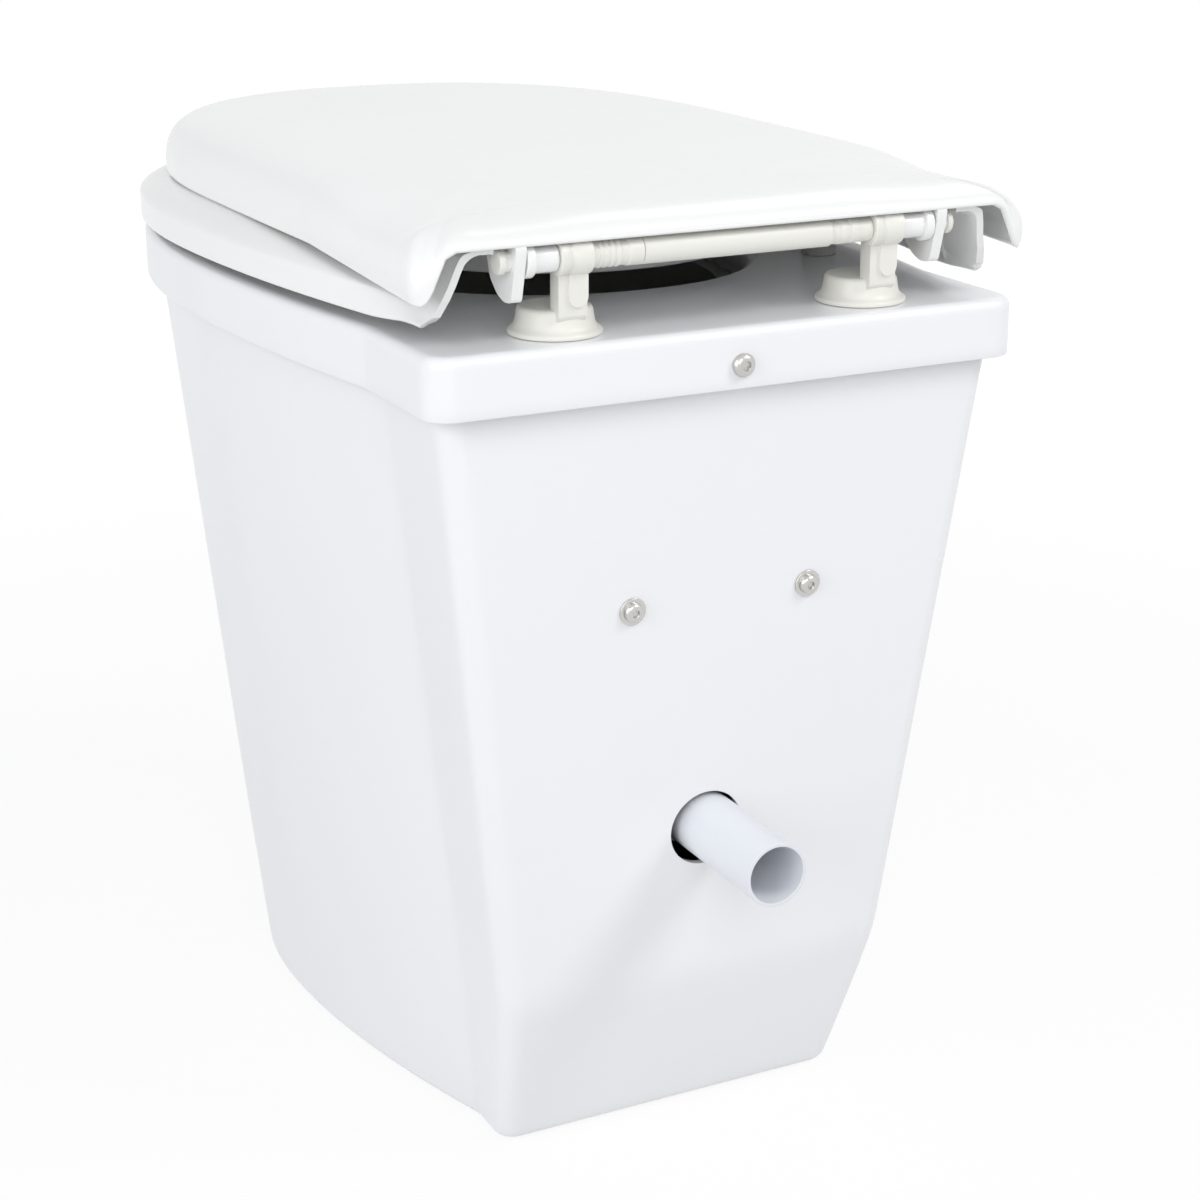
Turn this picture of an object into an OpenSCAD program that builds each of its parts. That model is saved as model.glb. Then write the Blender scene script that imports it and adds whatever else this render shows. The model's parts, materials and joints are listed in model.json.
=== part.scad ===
// Free-standing waterless toilet with a seat, a lid and a urine drain pipe through its back.
// The origin is the centre of the base on the floor, +Y points to the back and +Z up.

/* [Cover] */
// Height of the cover's flat top above the floor
deck_z = 425; // [400:1:460]
// Greatest width of the cover
cover_w = 342; // [336:1:360]
// Width of the cover across its rear corners
cover_rear_w = 304; // [298:1:314]
// Length of the cover from back to front
cover_l = 525; // [515:1:545]
// Height of the skirt that hangs over the body
skirt_h = 28.5; // [22:0.5:36]
// Wall of the cover
cover_wall = 4; // [3:0.5:5]
// Radius of the cover's rear corners, seen from above
cover_corner_r = 13; // [9:1:18]
// Radius of the edge between skirt and top
cover_edge_r = 5; // [3:0.5:7]
// Distance from the body's outside to the skirt's outside at the back and front
skirt_reach = 7.3; // [6:0.1:9]
// Distance from the body's outside to the skirt's outside along the sides
side_reach = 5.2; // [5:0.1:8]
// Distance that the cover's back stands behind the base
cover_overhang = 61; // [55:1:66]

/* [Opening in the cover] */
// Width of the opening where its rim starts to roll down
opening_w = 260; // [250:1:268]
// Length of the opening where its rim starts to roll down
opening_l = 340; // [330:1:350]
// Place of the opening's centre along Y
opening_y = -26; // [-30:1:-22]
// Radius of the rolled rim
roll_r = 14; // [10:1:16]
// Depth of the rim below the top, down to the ledge
rim_depth = 21; // [18:1:26]
// Width of the ledge that the bowl insert rests on
ledge_w = 8; // [6:0.5:9]

/* [Body] */
// Length of the base on the floor
base_l = 355; // [345:1:365]
// Greatest width of the base
base_w = 261; // [254:1:268]
// Width of the base across its rear corners
base_rear_w = 194; // [186:1:202]
// Height of the soft fold above the floor
fold_z = 92; // [80:1:105]
// Greatest width of the body at the fold
fold_w = 272; // [268:1:282]
// Distance that the fold stands behind the base at the back
fold_back = 31; // [26:1:36]
// Distance that the fold stands in front of the base at the front
fold_front = 47; // [40:1:54]
// Wall of the body
body_wall = 4; // [3:0.5:5]
// Radius of the edge around the base
base_edge_r = 7; // [5:1:12]
// Radius of the body's rear corners, seen from above
body_corner_r = 11; // [8:1:14]

/* [Seat] */
// Greatest width of the seat
seat_w = 350; // [344:1:354]
// Width of the seat across its rear ears
seat_rear_w = 292; // [288:1:294]
// Length of the seat from the rod's axis to its front
seat_l = 506; // [500:1:510]
// Height of the gap between the cover and the seat's edge
seat_gap = 6; // [5:0.5:8]
// Height of the seat's outer wall
seat_side_h = 9; // [7:0.5:10]
// Thickness of the seat from its edge to its crown
seat_h = 25; // [23:0.5:26]
// Width of the hole in the seat
seat_hole_w = 224; // [216:1:230]
// Length of the hole in the seat
seat_hole_l = 320; // [310:1:328]
// Wall of the seat and of the lid
shell_wall = 2.5; // [2:0.1:3]

/* [Lid] */
// Greatest width of the lid
lid_w = 314; // [310:1:318]
// Length of the lid from its rear bar to its front
lid_l = 501; // [496:1:506]
// Height of the lid's top above the cover
lid_top = 60; // [58:0.5:64]
// Height of the lid's edge above the cover
lid_edge = 28.5; // [28:0.5:31]
// Height of the ear tips above the cover
ear_tip = 22; // [20:0.5:24]
// Height of the rear bar's lower edge above the cover
bar_edge = 44; // [44:0.5:46]

/* [Hinge] */
// Distance between the two hinge posts
post_spacing = 160; // [156:1:164]
// Height of the rod's axis above the cover
rod_height = 37; // [36:0.5:38]
// Distance of the rod's axis in front of the cover's back face
rod_inset = 12; // [11:0.5:13]
// Diameter of the rod
rod_d = 9; // [8:0.5:9.5]
// Running clearance between the rod and what turns on it, on the radius
rod_clearance = 0.08; // [0.05:0.01:0.1]
// Diameter of the barrel at the top of a post
barrel_d = 16.6; // [16:0.1:17]
// Length of a barrel
barrel_l = 16; // [14:1:18]
// Width of a post's neck
neck_w = 14; // [12:1:15]
// Depth of a post's neck from front to back
neck_d = 10; // [9:0.5:11]
// Diameter of a foot on the cover
foot_d = 43; // [41:1:46]
// Diameter of a foot at its top
foot_top_d = 34; // [33:1:36]
// Height of a foot
foot_h = 12.5; // [12:0.5:14]
// Distance from a foot's centre to the rod's axis, along Y
foot_offset = 17; // [16:0.5:18]
// Diameter of a hinge stud
stud_d = 8; // [6:1:8]
// Length of a hinge stud below the post's base
stud_l = 34; // [30:1:40]

/* [Drain] */
// Outside diameter of the drain pipe
pipe_d = 32; // [30:1:32]
// Wall of the drain pipe
pipe_wall = 1.8; // [1.5:0.1:3]
// Height of the pipe's axis above the floor
pipe_z = 172.6; // [160:0.2:185]
// Length of pipe that stands out of the back
pipe_out = 65.4; // [50:0.2:80]
// Diameter of the hole that the pipe passes through
pipe_hole_d = 39; // [38:0.5:42]
// Inside diameter of the urine hose
hose_bore = 17; // [16:0.5:17]
// Wall of the urine hose
hose_wall = 1.7; // [1.5:0.1:2]

/* [Screws] */
// Distance between the two screws in the back
bracket_screw_spacing = 94.4; // [80:0.2:104]
// Height of the two screws above the floor
bracket_screw_z = 292.8; // [285:0.2:305]
// Thread diameter of the two screws
bracket_screw_d = 5; // [4:1:5]
// Diameter of the washers below their heads
washer_d = 13.5; // [12:0.5:15]
// Thread diameter of the cover screw
cover_screw_d = 6; // [5:1:6]
// Head diameter of the cover screw
cover_screw_head_d = 11.2; // [10:0.1:12]
// Clearance around a screw in its hole, on the radius
screw_clearance = 0.3; // [0.2:0.05:0.5]

/* [Waste container] */
// Diameter of the container at its rim, without the lip
container_d = 210; // [196:1:212]
// Diameter of the container at its floor
container_base_d = 180; // [170:1:190]
// Height of the container
container_h = 232; // [215:1:234]
// Wall of the container
container_wall = 2.2; // [1.8:0.1:3]
// Diameter of the bail's wire
bail_wire_d = 4.4; // [4:0.1:5]
// Radius of the bail
bail_r = 116; // [115:0.5:117]
// Angle that the stored bail hangs below level
bail_rest_angle = 19; // [15:0.5:19]
// Length of the grip on the bail
grip_l = 96; // [80:1:98]
// Diameter of the grip
grip_d = 15; // [12:0.5:15]

/* [Hidden] */
$fn = 48;

// Gap between solids that move past each other or rest softly
rest_gap = 0.3;
// Overlap that makes two shapes of one piece a single solid
weld = 0.5;

// Heights and places that follow from the sizes above
base_rear_y = base_l / 2;
cover_rear_y = base_rear_y + cover_overhang;
cover_front_y = cover_rear_y - cover_l;
skirt_z = deck_z - skirt_h;
ceiling_z = deck_z - cover_wall;
body_top_z = ceiling_z - rest_gap;
ledge_z = deck_z - rim_depth;
widest_y = -36;

// Share of the widening along the side, and how squarely the front is rounded
flare_power = 1.8;
front_power = 2.33;
opening_power = 2.2;

// Number of points in each stretch of an outline
corner_steps = 5;
side_steps = 9;
front_steps = 10;
rear_shares = [0, 0.3, 0.6, 0.85, 0.95];

function clamp01(t) = min(max(t, 0), 1);
function mix(a, b, t) = a + (b - a) * t;
function smooth(t) = let (c = clamp01(t)) c * c * (3 - 2 * c);
function last(list) = list[len(list) - 1];

// Widening of the side: quick at first, then easing into the widest place
function flare(t) = 1 - pow(1 - clamp01(t), flare_power);

// Quarter of a rounded front: from the widest point at angle 0 to the tip at 90
function front_point(w, y0, y1, power, a) =
    [w * pow(cos(a), 2 / power), y0 + (y1 - y0) * pow(sin(a), 2 / power)];

// Right half of an outline, from the middle of the back round to just before the tip.
// o = [rear half width, greatest half width, rear y, y where the side starts to widen,
//      y of the greatest width, front y, corner radius, front power]
function half_outline(o) =
    let (
        wr = o[0], wm = o[1], yr = o[2], ys = o[3], ym = o[4], yf = o[5], r = o[6],
        flat = wr - r
    )
    concat(
        [for (s = rear_shares) [flat * s, yr]],
        [for (i = [0 : corner_steps - 1])
            let (a = 90 * i / corner_steps) [flat + r * sin(a), yr - r + r * cos(a)]],
        [for (i = [0 : side_steps - 1])
            let (y = mix(yr - r, ym, i / side_steps))
            [wr + (wm - wr) * flare((ys - y) / (ys - ym)), y]],
        [for (i = [0 : front_steps - 1])
            front_point(wm, ym, yf, o[7], 90 * i / front_steps)]
    );

// Whole outline, clockwise seen from above, starting in the middle of the back
function outline(o) =
    let (h = half_outline(o), n = len(h))
    concat(h, [[0, o[5]]], [for (i = [n - 1 : -1 : 1]) [-h[i][0], h[i][1]]]);

// The same outline drawn in by a wall or an edge
function inset(o, d) =
    [o[0] - d, o[1] - d, o[2] - d, o[3], o[4], o[5] + d, max(o[6] - d, 2), o[7]];

// A flat ring of points at one height
function ring(points, z) = [for (p = points) [p[0], p[1], z]];

// Point on a rounded oval in the direction of p, seen from the oval's centre
function oval_point(p, w, l, y0, d, power) =
    let (
        v = [p[0], p[1] - y0],
        a = w / 2 - d,
        b = l / 2 - d,
        k = pow(abs(v[0]) / a, power) + pow(abs(v[1]) / b, power)
    )
    [0, y0] + v / pow(k, 1 / power);

// Middle of a ring of points
function ring_middle(r) =
    let (n = len(r))
    [0, 0, 0] + [for (k = [0 : 2]) sum_of([for (p = r) p[k]]) / n];
function sum_of(list, i = 0) = i == len(list) ? 0 : list[i] + sum_of(list, i + 1);

// Solid between a stack of rings with as many points each, closed at both ends
module ring_solid(rings) {
    n = len(rings[0]);
    m = len(rings);
    polyhedron(
        concat(
            [for (r = rings) each r],
            [ring_middle(rings[0]), ring_middle(rings[m - 1])]
        ),
        concat(
            [for (i = [0 : n - 1]) [n * m, (i + 1) % n, i]],
            ring_sides(n, m - 1, m),
            [for (i = [0 : n - 1]) [n * m + 1, (m - 1) * n + i, (m - 1) * n + (i + 1) % n]]
        ),
        convexity = 8
    );
}

// Solid whose rings close on themselves, like a frame around a hole
module ring_loop(rings) {
    n = len(rings[0]);
    m = len(rings);
    polyhedron([for (r = rings) each r], ring_sides(n, m, m), convexity = 8);
}

function ring_sides(n, bands, m) = [
    for (j = [0 : bands - 1])
        for (i = [0 : n - 1])
            let (k = (i + 1) % n, a = j * n, b = ((j + 1) % m) * n)
            each [[a + i, a + k, b + k], [a + i, b + k, b + i]]
];

module mirror_pair() {
    children();
    mirror([1, 0, 0]) children();
}

// Cylinder along Y from y0 to y1
module rod_y(d, y0, y1) {
    translate([0, y0, 0]) rotate([-90, 0, 0]) cylinder(d = d, h = y1 - y0);
}

// Cylinder along X from x0 to x1
module rod_x(d, x0, x1) {
    translate([x0, 0, 0]) rotate([0, 90, 0]) cylinder(d = d, h = x1 - x0);
}

// Body: a tapered tub, its outline widening from the base to the cover
body_straight_top = 78;
body_straight_base = 30;

cover_outline = [
    cover_rear_w / 2, cover_w / 2, cover_rear_y, cover_rear_y - body_straight_top,
    widest_y, cover_front_y, cover_corner_r, front_power
];
top_outline = [
    cover_rear_w / 2 - side_reach, cover_w / 2 - side_reach,
    cover_rear_y - skirt_reach, cover_rear_y - body_straight_top,
    widest_y, cover_front_y + skirt_reach, body_corner_r, front_power
];
fold_share = fold_z / body_top_z;
fold_outline = [
    mix(base_rear_w, 2 * top_outline[0], fold_share) / 2, fold_w / 2,
    base_rear_y + fold_back, base_rear_y - mix(body_straight_base, 0, fold_share),
    widest_y, -base_rear_y - fold_front, body_corner_r, front_power
];
base_outline = [
    base_rear_w / 2, base_w / 2, base_rear_y, base_rear_y - body_straight_base,
    widest_y, -base_rear_y, body_corner_r, front_power
];
// How sharply each value bends at the fold: 2 is a slow curve, 1 a sharp fold
fold_powers = [1, 2, 1.12, 1, 1, 2, 1, 1];

// Value number i of the body's outline at height z
function body_value(i, z) =
    let (
        t = (fold_z - z) / fold_z,
        rise = (fold_outline[i] - top_outline[i]) * fold_z / (body_top_z - fold_z)
    )
    z >= fold_z
    ? mix(fold_outline[i], top_outline[i], (z - fold_z) / (body_top_z - fold_z))
    : fold_outline[i] + rise * t
        + (base_outline[i] - fold_outline[i] - rise) * pow(t, fold_powers[i]);

function body_outline(z) = [for (i = [0 : 7]) body_value(i, z)];
function body_rear_y(z) = body_value(2, z);
back_tilt = atan((body_rear_y(body_top_z) - body_rear_y(fold_z)) / (body_top_z - fold_z));

lower_heights = [0.2, 0.36, 0.52, 0.68, 0.84, 0.94, 1, 1.08];
edge_angles = [0, 22.5, 45, 67.5];
floor_round = 8;

module body_shell() {
    outer_edge = [for (a = edge_angles)
        let (z = base_edge_r * (1 - cos(a)))
        ring(outline(inset(body_outline(z), base_edge_r * (1 - sin(a)))), z)];
    outer_side = concat(
        [for (s = lower_heights) ring(outline(body_outline(s * fold_z)), s * fold_z)],
        [ring(outline(body_outline(body_top_z)), body_top_z)]
    );
    inner_side = concat(
        [ring(outline(inset(body_outline(body_top_z), body_wall)), body_top_z)],
        [for (i = [len(lower_heights) - 1 : -1 : 0])
            let (z = lower_heights[i] * fold_z)
            ring(outline(inset(body_outline(z), body_wall)), z)]
    );
    inner_floor = [for (a = [60, 30, 0])
        let (z = body_wall + floor_round * (1 - cos(a)))
        ring(outline(inset(body_outline(z), body_wall + floor_round * (1 - sin(a)))), z)];
    color("white") difference() {
        ring_solid(concat(outer_edge, outer_side, inner_side, inner_floor));
        translate([pipe_hole_shift[0], 0, pipe_z + pipe_hole_shift[1]])
            rod_y(pipe_hole_d, base_rear_y, cover_rear_y);
        back_screws() back_hole(bracket_screw_d);
        translate([0, 0, cover_screw_z])
            rod_y(cover_screw_d + 2 * screw_clearance, base_rear_y, cover_rear_y);
    }
}

// The hole in the back lies a little off the pipe that passes through it
pipe_hole_shift = [1.5, -1.1];

// Top cover: skirt, flat top and a rim that rolls down to a ledge
roll_angles = [0, 22.5, 45, 67.5, 90];
cover_screw_z = skirt_z + 0.4 * skirt_h;
screw_boss_d = 18;

function cover_ring(d, z) = ring(outline(inset(cover_outline, d)), z);
function opening_ring(d, z) = ring(
    [for (p = outline(cover_outline))
        oval_point(p, opening_w, opening_l, opening_y, d, opening_power)],
    z
);

module top_cover() {
    r = cover_edge_r;
    roll_z = deck_z - roll_r;
    under_r = roll_r - cover_wall;
    skirt = [
        cover_ring(0, skirt_z), cover_ring(0, deck_z - r),
        cover_ring(r * (1 - cos(30)), deck_z - r + r * sin(30)),
        cover_ring(r * (1 - cos(60)), deck_z - r + r * sin(60)),
        cover_ring(r, deck_z)
    ];
    roll = [for (a = roll_angles) opening_ring(roll_r * sin(a), roll_z + roll_r * cos(a))];
    ledge = [
        opening_ring(roll_r, ledge_z), opening_ring(roll_r + ledge_w, ledge_z),
        opening_ring(roll_r + ledge_w, ledge_z - cover_wall),
        opening_ring(under_r, ledge_z - cover_wall)
    ];
    underside = [for (i = [len(roll_angles) - 1 : -1 : 0])
        let (a = roll_angles[i])
        opening_ring(under_r * sin(a), roll_z + under_r * cos(a))];
    inside = [cover_ring(cover_wall, ceiling_z), cover_ring(cover_wall, skirt_z)];
    boss_y = cover_rear_y - cover_wall;
    color("white") difference() {
        union() {
            ring_loop(concat(skirt, roll, ledge, underside, inside));
            translate([0, 0, cover_screw_z])
                rod_y(screw_boss_d, boss_front_y, boss_y + weld);
        }
        translate([0, 0, cover_screw_z])
            rod_y(cover_screw_d + 2 * screw_clearance, base_rear_y, cover_rear_y + 1);
        mirror_pair() translate([post_spacing / 2, foot_y, ledge_z])
            cylinder(d = stud_d + 2 * screw_clearance, h = rim_depth + 1);
    }
}

boss_front_y = body_rear_y(cover_screw_z + screw_boss_d / 2) + rest_gap;

// Screws that stand square on the sloping back: children are drawn with +Y outwards
module back_screws() {
    mirror_pair()
        translate([bracket_screw_spacing / 2, body_rear_y(bracket_screw_z), bracket_screw_z])
            rotate([-back_tilt, 0, 0]) children();
}

module back_hole(d) {
    rod_y(d + 2 * screw_clearance, -2 * body_wall - bracket_t, washer_t + 1);
}

washer_t = 1.2;
bracket_t = 2;
bracket_screw_l = 16;
bracket_head_d = 9.6;
bracket_head_h = 3;
drive_d = 3.4;
drive_depth = 1.6;
nut_h = 4;
nut_d = 9.2;
head_shares = [[0, 0], [1, 0], [1, 0.35], [0.86, 0.72], [0.55, 0.95], [0.3, 1], [0, 1]];

// Domed head that points along +Y, with a six-sided drive
module domed_head(d, h) {
    difference() {
        rotate([-90, 0, 0]) rotate_extrude()
            polygon([for (s = head_shares) [s[0] * d / 2, s[1] * h]]);
        translate([0, h - drive_depth, 0]) rotate([-90, 0, 0])
            cylinder(d = drive_d, h = drive_depth + 1, $fn = 6);
    }
}

module bracket_screws() {
    color("silver") back_screws() {
        translate([0, washer_t, 0]) domed_head(bracket_head_d, bracket_head_h);
        rod_y(bracket_screw_d, -bracket_screw_l, washer_t + weld);
    }
}

module bracket_washers() {
    color("silver") back_screws() difference() {
        rod_y(washer_d, 0, washer_t);
        rod_y(bracket_screw_d + 2 * rod_clearance, -1, washer_t + 1);
    }
}

module bracket_nuts() {
    y1 = -body_wall - bracket_t - 2 * face_gap;
    color("silver") back_screws() difference() {
        translate([0, y1 - nut_h, 0]) rotate([-90, 0, 0])
            cylinder(d = nut_d, h = nut_h, $fn = 6);
        rod_y(bracket_screw_d + 2 * rod_clearance, y1 - nut_h - 1, y1 + 1);
    }
}

cover_screw_l = 22;
cover_head_h = 4;
cover_nut_d = 11.5;
cover_nut_h = 5;

module cover_screw() {
    color("silver") translate([0, cover_rear_y, cover_screw_z]) {
        domed_head(cover_screw_head_d, cover_head_h);
        rod_y(cover_screw_d, -cover_screw_l, weld);
    }
}

module cover_screw_nut() {
    y1 = body_rear_y(cover_screw_z - cover_nut_d / 2) - body_wall - face_gap;
    color("silver") translate([0, 0, cover_screw_z]) difference() {
        translate([0, y1 - cover_nut_h, 0]) rotate([-90, 0, 0])
            cylinder(d = cover_nut_d, h = cover_nut_h, $fn = 6);
        rod_y(cover_screw_d + 2 * rod_clearance, y1 - cover_nut_h - 1, y1 + 1);
    }
}

// Bowl insert: a flange on the ledge, a front bowl for urine and a chute behind it
insert_wall = 3;
insert_gap = 1;
flange_reach = ledge_w + 3;
chute_r = 84;
chute_y = 32;
chute_z = 350;
bowl_dip = 40;
dam_drop = 24;
rear_drop = 42;
bowl_front_start = 70;
bowl_front_span = 60;
spout_y = -115;
spout_d = 16;
spout_bore = 12;
spout_l = 26;
bowl_shares = [0, 0.06, 0.14, 0.25, 0.38, 0.52, 0.66, 0.78, 0.88, 0.95, 1];
insert_points = 48;

// How much a direction belongs to the front bowl: 0 at the back, 1 at the front
function frontness(a) = smooth((abs(a > 180 ? 360 - a : a) - bowl_front_start) / bowl_front_span);

// Height of the insert's inside, t = 0 at the flange and 1 at the chute
function bowl_z(t, a) = ledge_z - mix(
    rear_drop * pow(t, 0.7),
    bowl_dip * pow(sin(180 * pow(t, 0.8)), 0.7) + dam_drop * t,
    frontness(a)
);

// Point of the flange's edge or of the chute in direction a, 0 at the back
function flange_point(d, a) =
    oval_point([sin(a), opening_y + cos(a)], opening_w, opening_l, opening_y, d, opening_power);
function chute_point(r, a) = [r * sin(a), chute_y + r * cos(a)];

function insert_ring(t, drop) = [for (i = [0 : insert_points - 1])
    let (
        a = 360 * i / insert_points,
        p = mix(flange_point(roll_r + flange_reach, a), chute_point(chute_r, a), t)
    )
    [p[0], p[1], bowl_z(t, a) - drop]];

module bowl_insert() {
    flange_d = roll_r + insert_gap;
    wall_d = roll_r + flange_reach;
    angles = [for (i = [0 : insert_points - 1]) 360 * i / insert_points];
    flange = [
        ring([for (a = angles) flange_point(flange_d, a)], ledge_z),
        ring([for (a = angles) flange_point(flange_d, a)], ledge_z + insert_wall),
        ring([for (a = angles) flange_point(wall_d, a)], ledge_z + insert_wall)
    ];
    inside = [for (t = bowl_shares) insert_ring(t, 0)];
    chute = [
        ring([for (a = angles) chute_point(chute_r, a)], chute_z),
        ring([for (a = angles) chute_point(chute_r + insert_wall, a)], chute_z)
    ];
    outside = [for (i = [len(bowl_shares) - 2 : -1 : 1]) insert_ring(bowl_shares[i], insert_wall)];
    neck = [ring([for (a = angles) flange_point(wall_d - insert_wall + insert_gap, a)], ledge_z)];
    spout_top = bowl_low_z - insert_wall + weld;
    color([0.42, 0.43, 0.41]) difference() {
        union() {
            ring_loop(concat(flange, inside, chute, outside, neck));
            translate([0, spout_y, spout_top - spout_l])
                cylinder(d = spout_d, h = spout_l);
        }
        translate([0, spout_y, spout_top - spout_l - 1])
            cylinder(d = spout_bore, h = spout_l + 2 * insert_wall);
    }
}

bowl_low_z = bowl_z(0.5, 180);
spout_end_z = bowl_low_z - insert_wall + weld - spout_l;

// Drain: elbow behind the container, pipe out of the back, hose from the bowl
pipe_end_y = body_rear_y(pipe_z) + pipe_out;
elbow_face_y = 190;
elbow_spigot_l = 20;
elbow_r = 24;
elbow_d = 36;
elbow_bore = 24;
pipe_fit = 0.05;
elbow_bend_y = elbow_face_y - 16;
elbow_leg_y = elbow_bend_y - elbow_r;
elbow_leg_z = pipe_z + elbow_r;
elbow_leg_l = 16;
tail_d = 16;
tail_bore = 12;
tail_l = 26;
tail_end_z = elbow_leg_z + elbow_leg_l + tail_l;

module drain_elbow() {
    spigot_d = pipe_d - 2 * pipe_wall - 2 * pipe_fit;
    color("white") difference() {
        union() {
            translate([0, 0, pipe_z]) rod_y(elbow_d, elbow_bend_y, elbow_face_y);
            translate([0, 0, pipe_z])
                rod_y(spigot_d, elbow_face_y - weld, elbow_face_y + elbow_spigot_l);
            elbow_bend(elbow_d);
            translate([0, elbow_leg_y, elbow_leg_z]) cylinder(d = elbow_d, h = elbow_leg_l);
            translate([0, elbow_leg_y, elbow_leg_z])
                cylinder(d = tail_d, h = elbow_leg_l + tail_l);
        }
        translate([0, 0, pipe_z])
            rod_y(elbow_bore, elbow_bend_y - 0.01, elbow_face_y + elbow_spigot_l + 1);
        elbow_bend(elbow_bore);
        translate([0, elbow_leg_y, elbow_leg_z - 0.01])
            cylinder(d = elbow_bore, h = elbow_leg_l - 4);
        translate([0, elbow_leg_y, elbow_leg_z])
            cylinder(d = tail_bore, h = elbow_leg_l + tail_l + 1);
    }
}

// Quarter bend from the pipe's axis up to the vertical leg
module elbow_bend(d) {
    translate([0, elbow_bend_y, pipe_z + elbow_r]) rotate([0, 90, 0]) rotate([0, 0, -90])
        rotate_extrude(angle = 90) translate([elbow_r, 0]) circle(d = d);
}

module drain_pipe() {
    color("white") translate([0, 0, pipe_z]) difference() {
        rod_y(pipe_d, elbow_face_y, pipe_end_y);
        rod_y(pipe_d - 2 * pipe_wall, elbow_face_y - 1, pipe_end_y + 1);
    }
}

// Route of the hose, falling all the way from the bowl to the elbow
hose_route = [
    [0, spout_y, spout_end_z + 20], [0, spout_y, spout_end_z], [4, -118, 309], [20, -127, 299],
    [60, -128, 294], [100, -106, 290], [127, -58, 287], [132, -4, 284], [130, 50, 281],
    [112, 100, 279], [76, 136, 276], [36, 151, 273], [10, 152, 265],
    [0, elbow_leg_y, tail_end_z + 4], [0, elbow_leg_y, tail_end_z - 20]
];
hose_sides = 12;

function unit(v) = v / norm(v);
function route_direction(path, i) =
    unit(path[min(i + 1, len(path) - 1)] - path[max(i - 1, 0)]);
function turned_side(v, d) = unit(v - d * (v * d));
function route_frames(path, i = 0, side = [1, 0, 0]) =
    let (d = route_direction(path, i), s = turned_side(side, d))
    i == len(path) - 1 ? [[d, s]] : concat([[d, s]], route_frames(path, i + 1, s));
function tube_rings(path, r) =
    let (frames = route_frames(path))
    [for (i = [0 : len(path) - 1])
        let (d = frames[i][0], s = frames[i][1], u = cross(s, d))
        [for (k = [0 : hose_sides - 1])
            let (a = 360 * k / hose_sides)
            path[i] + r * (s * cos(a) + u * sin(a))]];
function reversed(list) = [for (i = [len(list) - 1 : -1 : 0]) list[i]];

module urine_hose() {
    inner_r = hose_bore / 2;
    color([0.86, 0.88, 0.86]) ring_loop(concat(
        tube_rings(hose_route, inner_r + hose_wall),
        reversed(tube_rings(hose_route, inner_r))
    ));
}

clip_t = 1.2;
clip_w = 7;

module hose_clips() {
    inner = hose_bore + 2 * hose_wall + 2 * rest_gap;
    places = [[0, spout_y, spout_end_z + 7], [0, elbow_leg_y, tail_end_z - 14]];
    color("silver") for (p = places) translate(p) difference() {
        union() {
            cylinder(d = inner + 2 * clip_t, h = clip_w);
            translate([-3, inner / 2 + 0.4, 0]) cube([6, 6, clip_w]);
        }
        translate([0, 0, -1]) cylinder(d = inner, h = clip_w + 2);
    }
}

// Bracket: a plate on the inside of the back, a strap down and a tongue around the elbow
plate_w = bracket_screw_spacing + 20;
plate_h = 24;
strap_w = 34;
tongue_t = 3;
tongue_z = elbow_leg_z + 4;
face_gap = 0.02;

// Place on the inside of the back at height z, and the same one bracket thickness further in
function wall_y(z) = body_rear_y(z) - body_wall - face_gap;
function plate_y(z) = wall_y(z) - bracket_t / cos(back_tilt);

module across(w) {
    translate([-w / 2, 0, 0]) rotate([90, 0, 90]) linear_extrude(w) children();
}

module inner_bracket() {
    z0 = bracket_screw_z - plate_h / 2;
    z1 = bracket_screw_z + plate_h / 2;
    color("silver") difference() {
        union() {
            across(plate_w) polygon([
                [wall_y(z0), z0], [wall_y(z1), z1], [plate_y(z1), z1], [plate_y(z0), z0]
            ]);
            across(strap_w) polygon([
                [wall_y(z1), z1], [plate_y(z1), z1], [plate_y(tongue_z + tongue_t), tongue_z + tongue_t],
                [elbow_leg_y, tongue_z + tongue_t], [elbow_leg_y, tongue_z], [wall_y(tongue_z), tongue_z]
            ]);
            translate([0, elbow_leg_y, tongue_z]) cylinder(d = elbow_d + 10, h = tongue_t);
        }
        translate([0, elbow_leg_y, tongue_z - 1])
            cylinder(d = elbow_d + 2 * pipe_fit, h = tongue_t + 2);
        back_screws() back_hole(bracket_screw_d);
    }
}

// Waste container with its bail and grip
container_y = -12;
container_r = container_d / 2;
lip_w = 4;
lip_h = 6;
ear_drop = 18;
ear_d = 14;
ear_z = body_wall + container_h - ear_drop;
ear_face = container_r + 5;
module waste_container() {
    z0 = body_wall;
    r0 = container_base_d / 2;
    w = container_wall;
    h = container_h;
    color([0.92, 0.92, 0.9]) translate([0, container_y, 0]) difference() {
        union() {
            translate([0, 0, z0]) rotate_extrude($fn = 96) polygon([
                [0, 0], [r0 - 3, 0], [r0, 3], [container_r, h - lip_h],
                [container_r + lip_w, h - lip_h], [container_r + lip_w, h],
                [container_r - w, h], [r0 - w, w + 2], [r0 - w - 2, w], [0, w]
            ]);
            translate([0, 0, ear_z]) mirror_pair() rod_x(ear_d, container_r - w / 2 - 1, ear_face);
        }
        translate([0, 0, ear_z]) mirror_pair()
            rod_x(bail_wire_d + 2 * rod_clearance, container_r - w - 2, ear_face + 1);
    }
}

// Half of the bail lies level here, its middle on the -Y side: pin, leg, bend and straight middle
bail_bend_r = 66;
bail_middle = bail_r - bail_bend_r;
bail_leg = bail_r - bail_bend_r;

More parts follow.
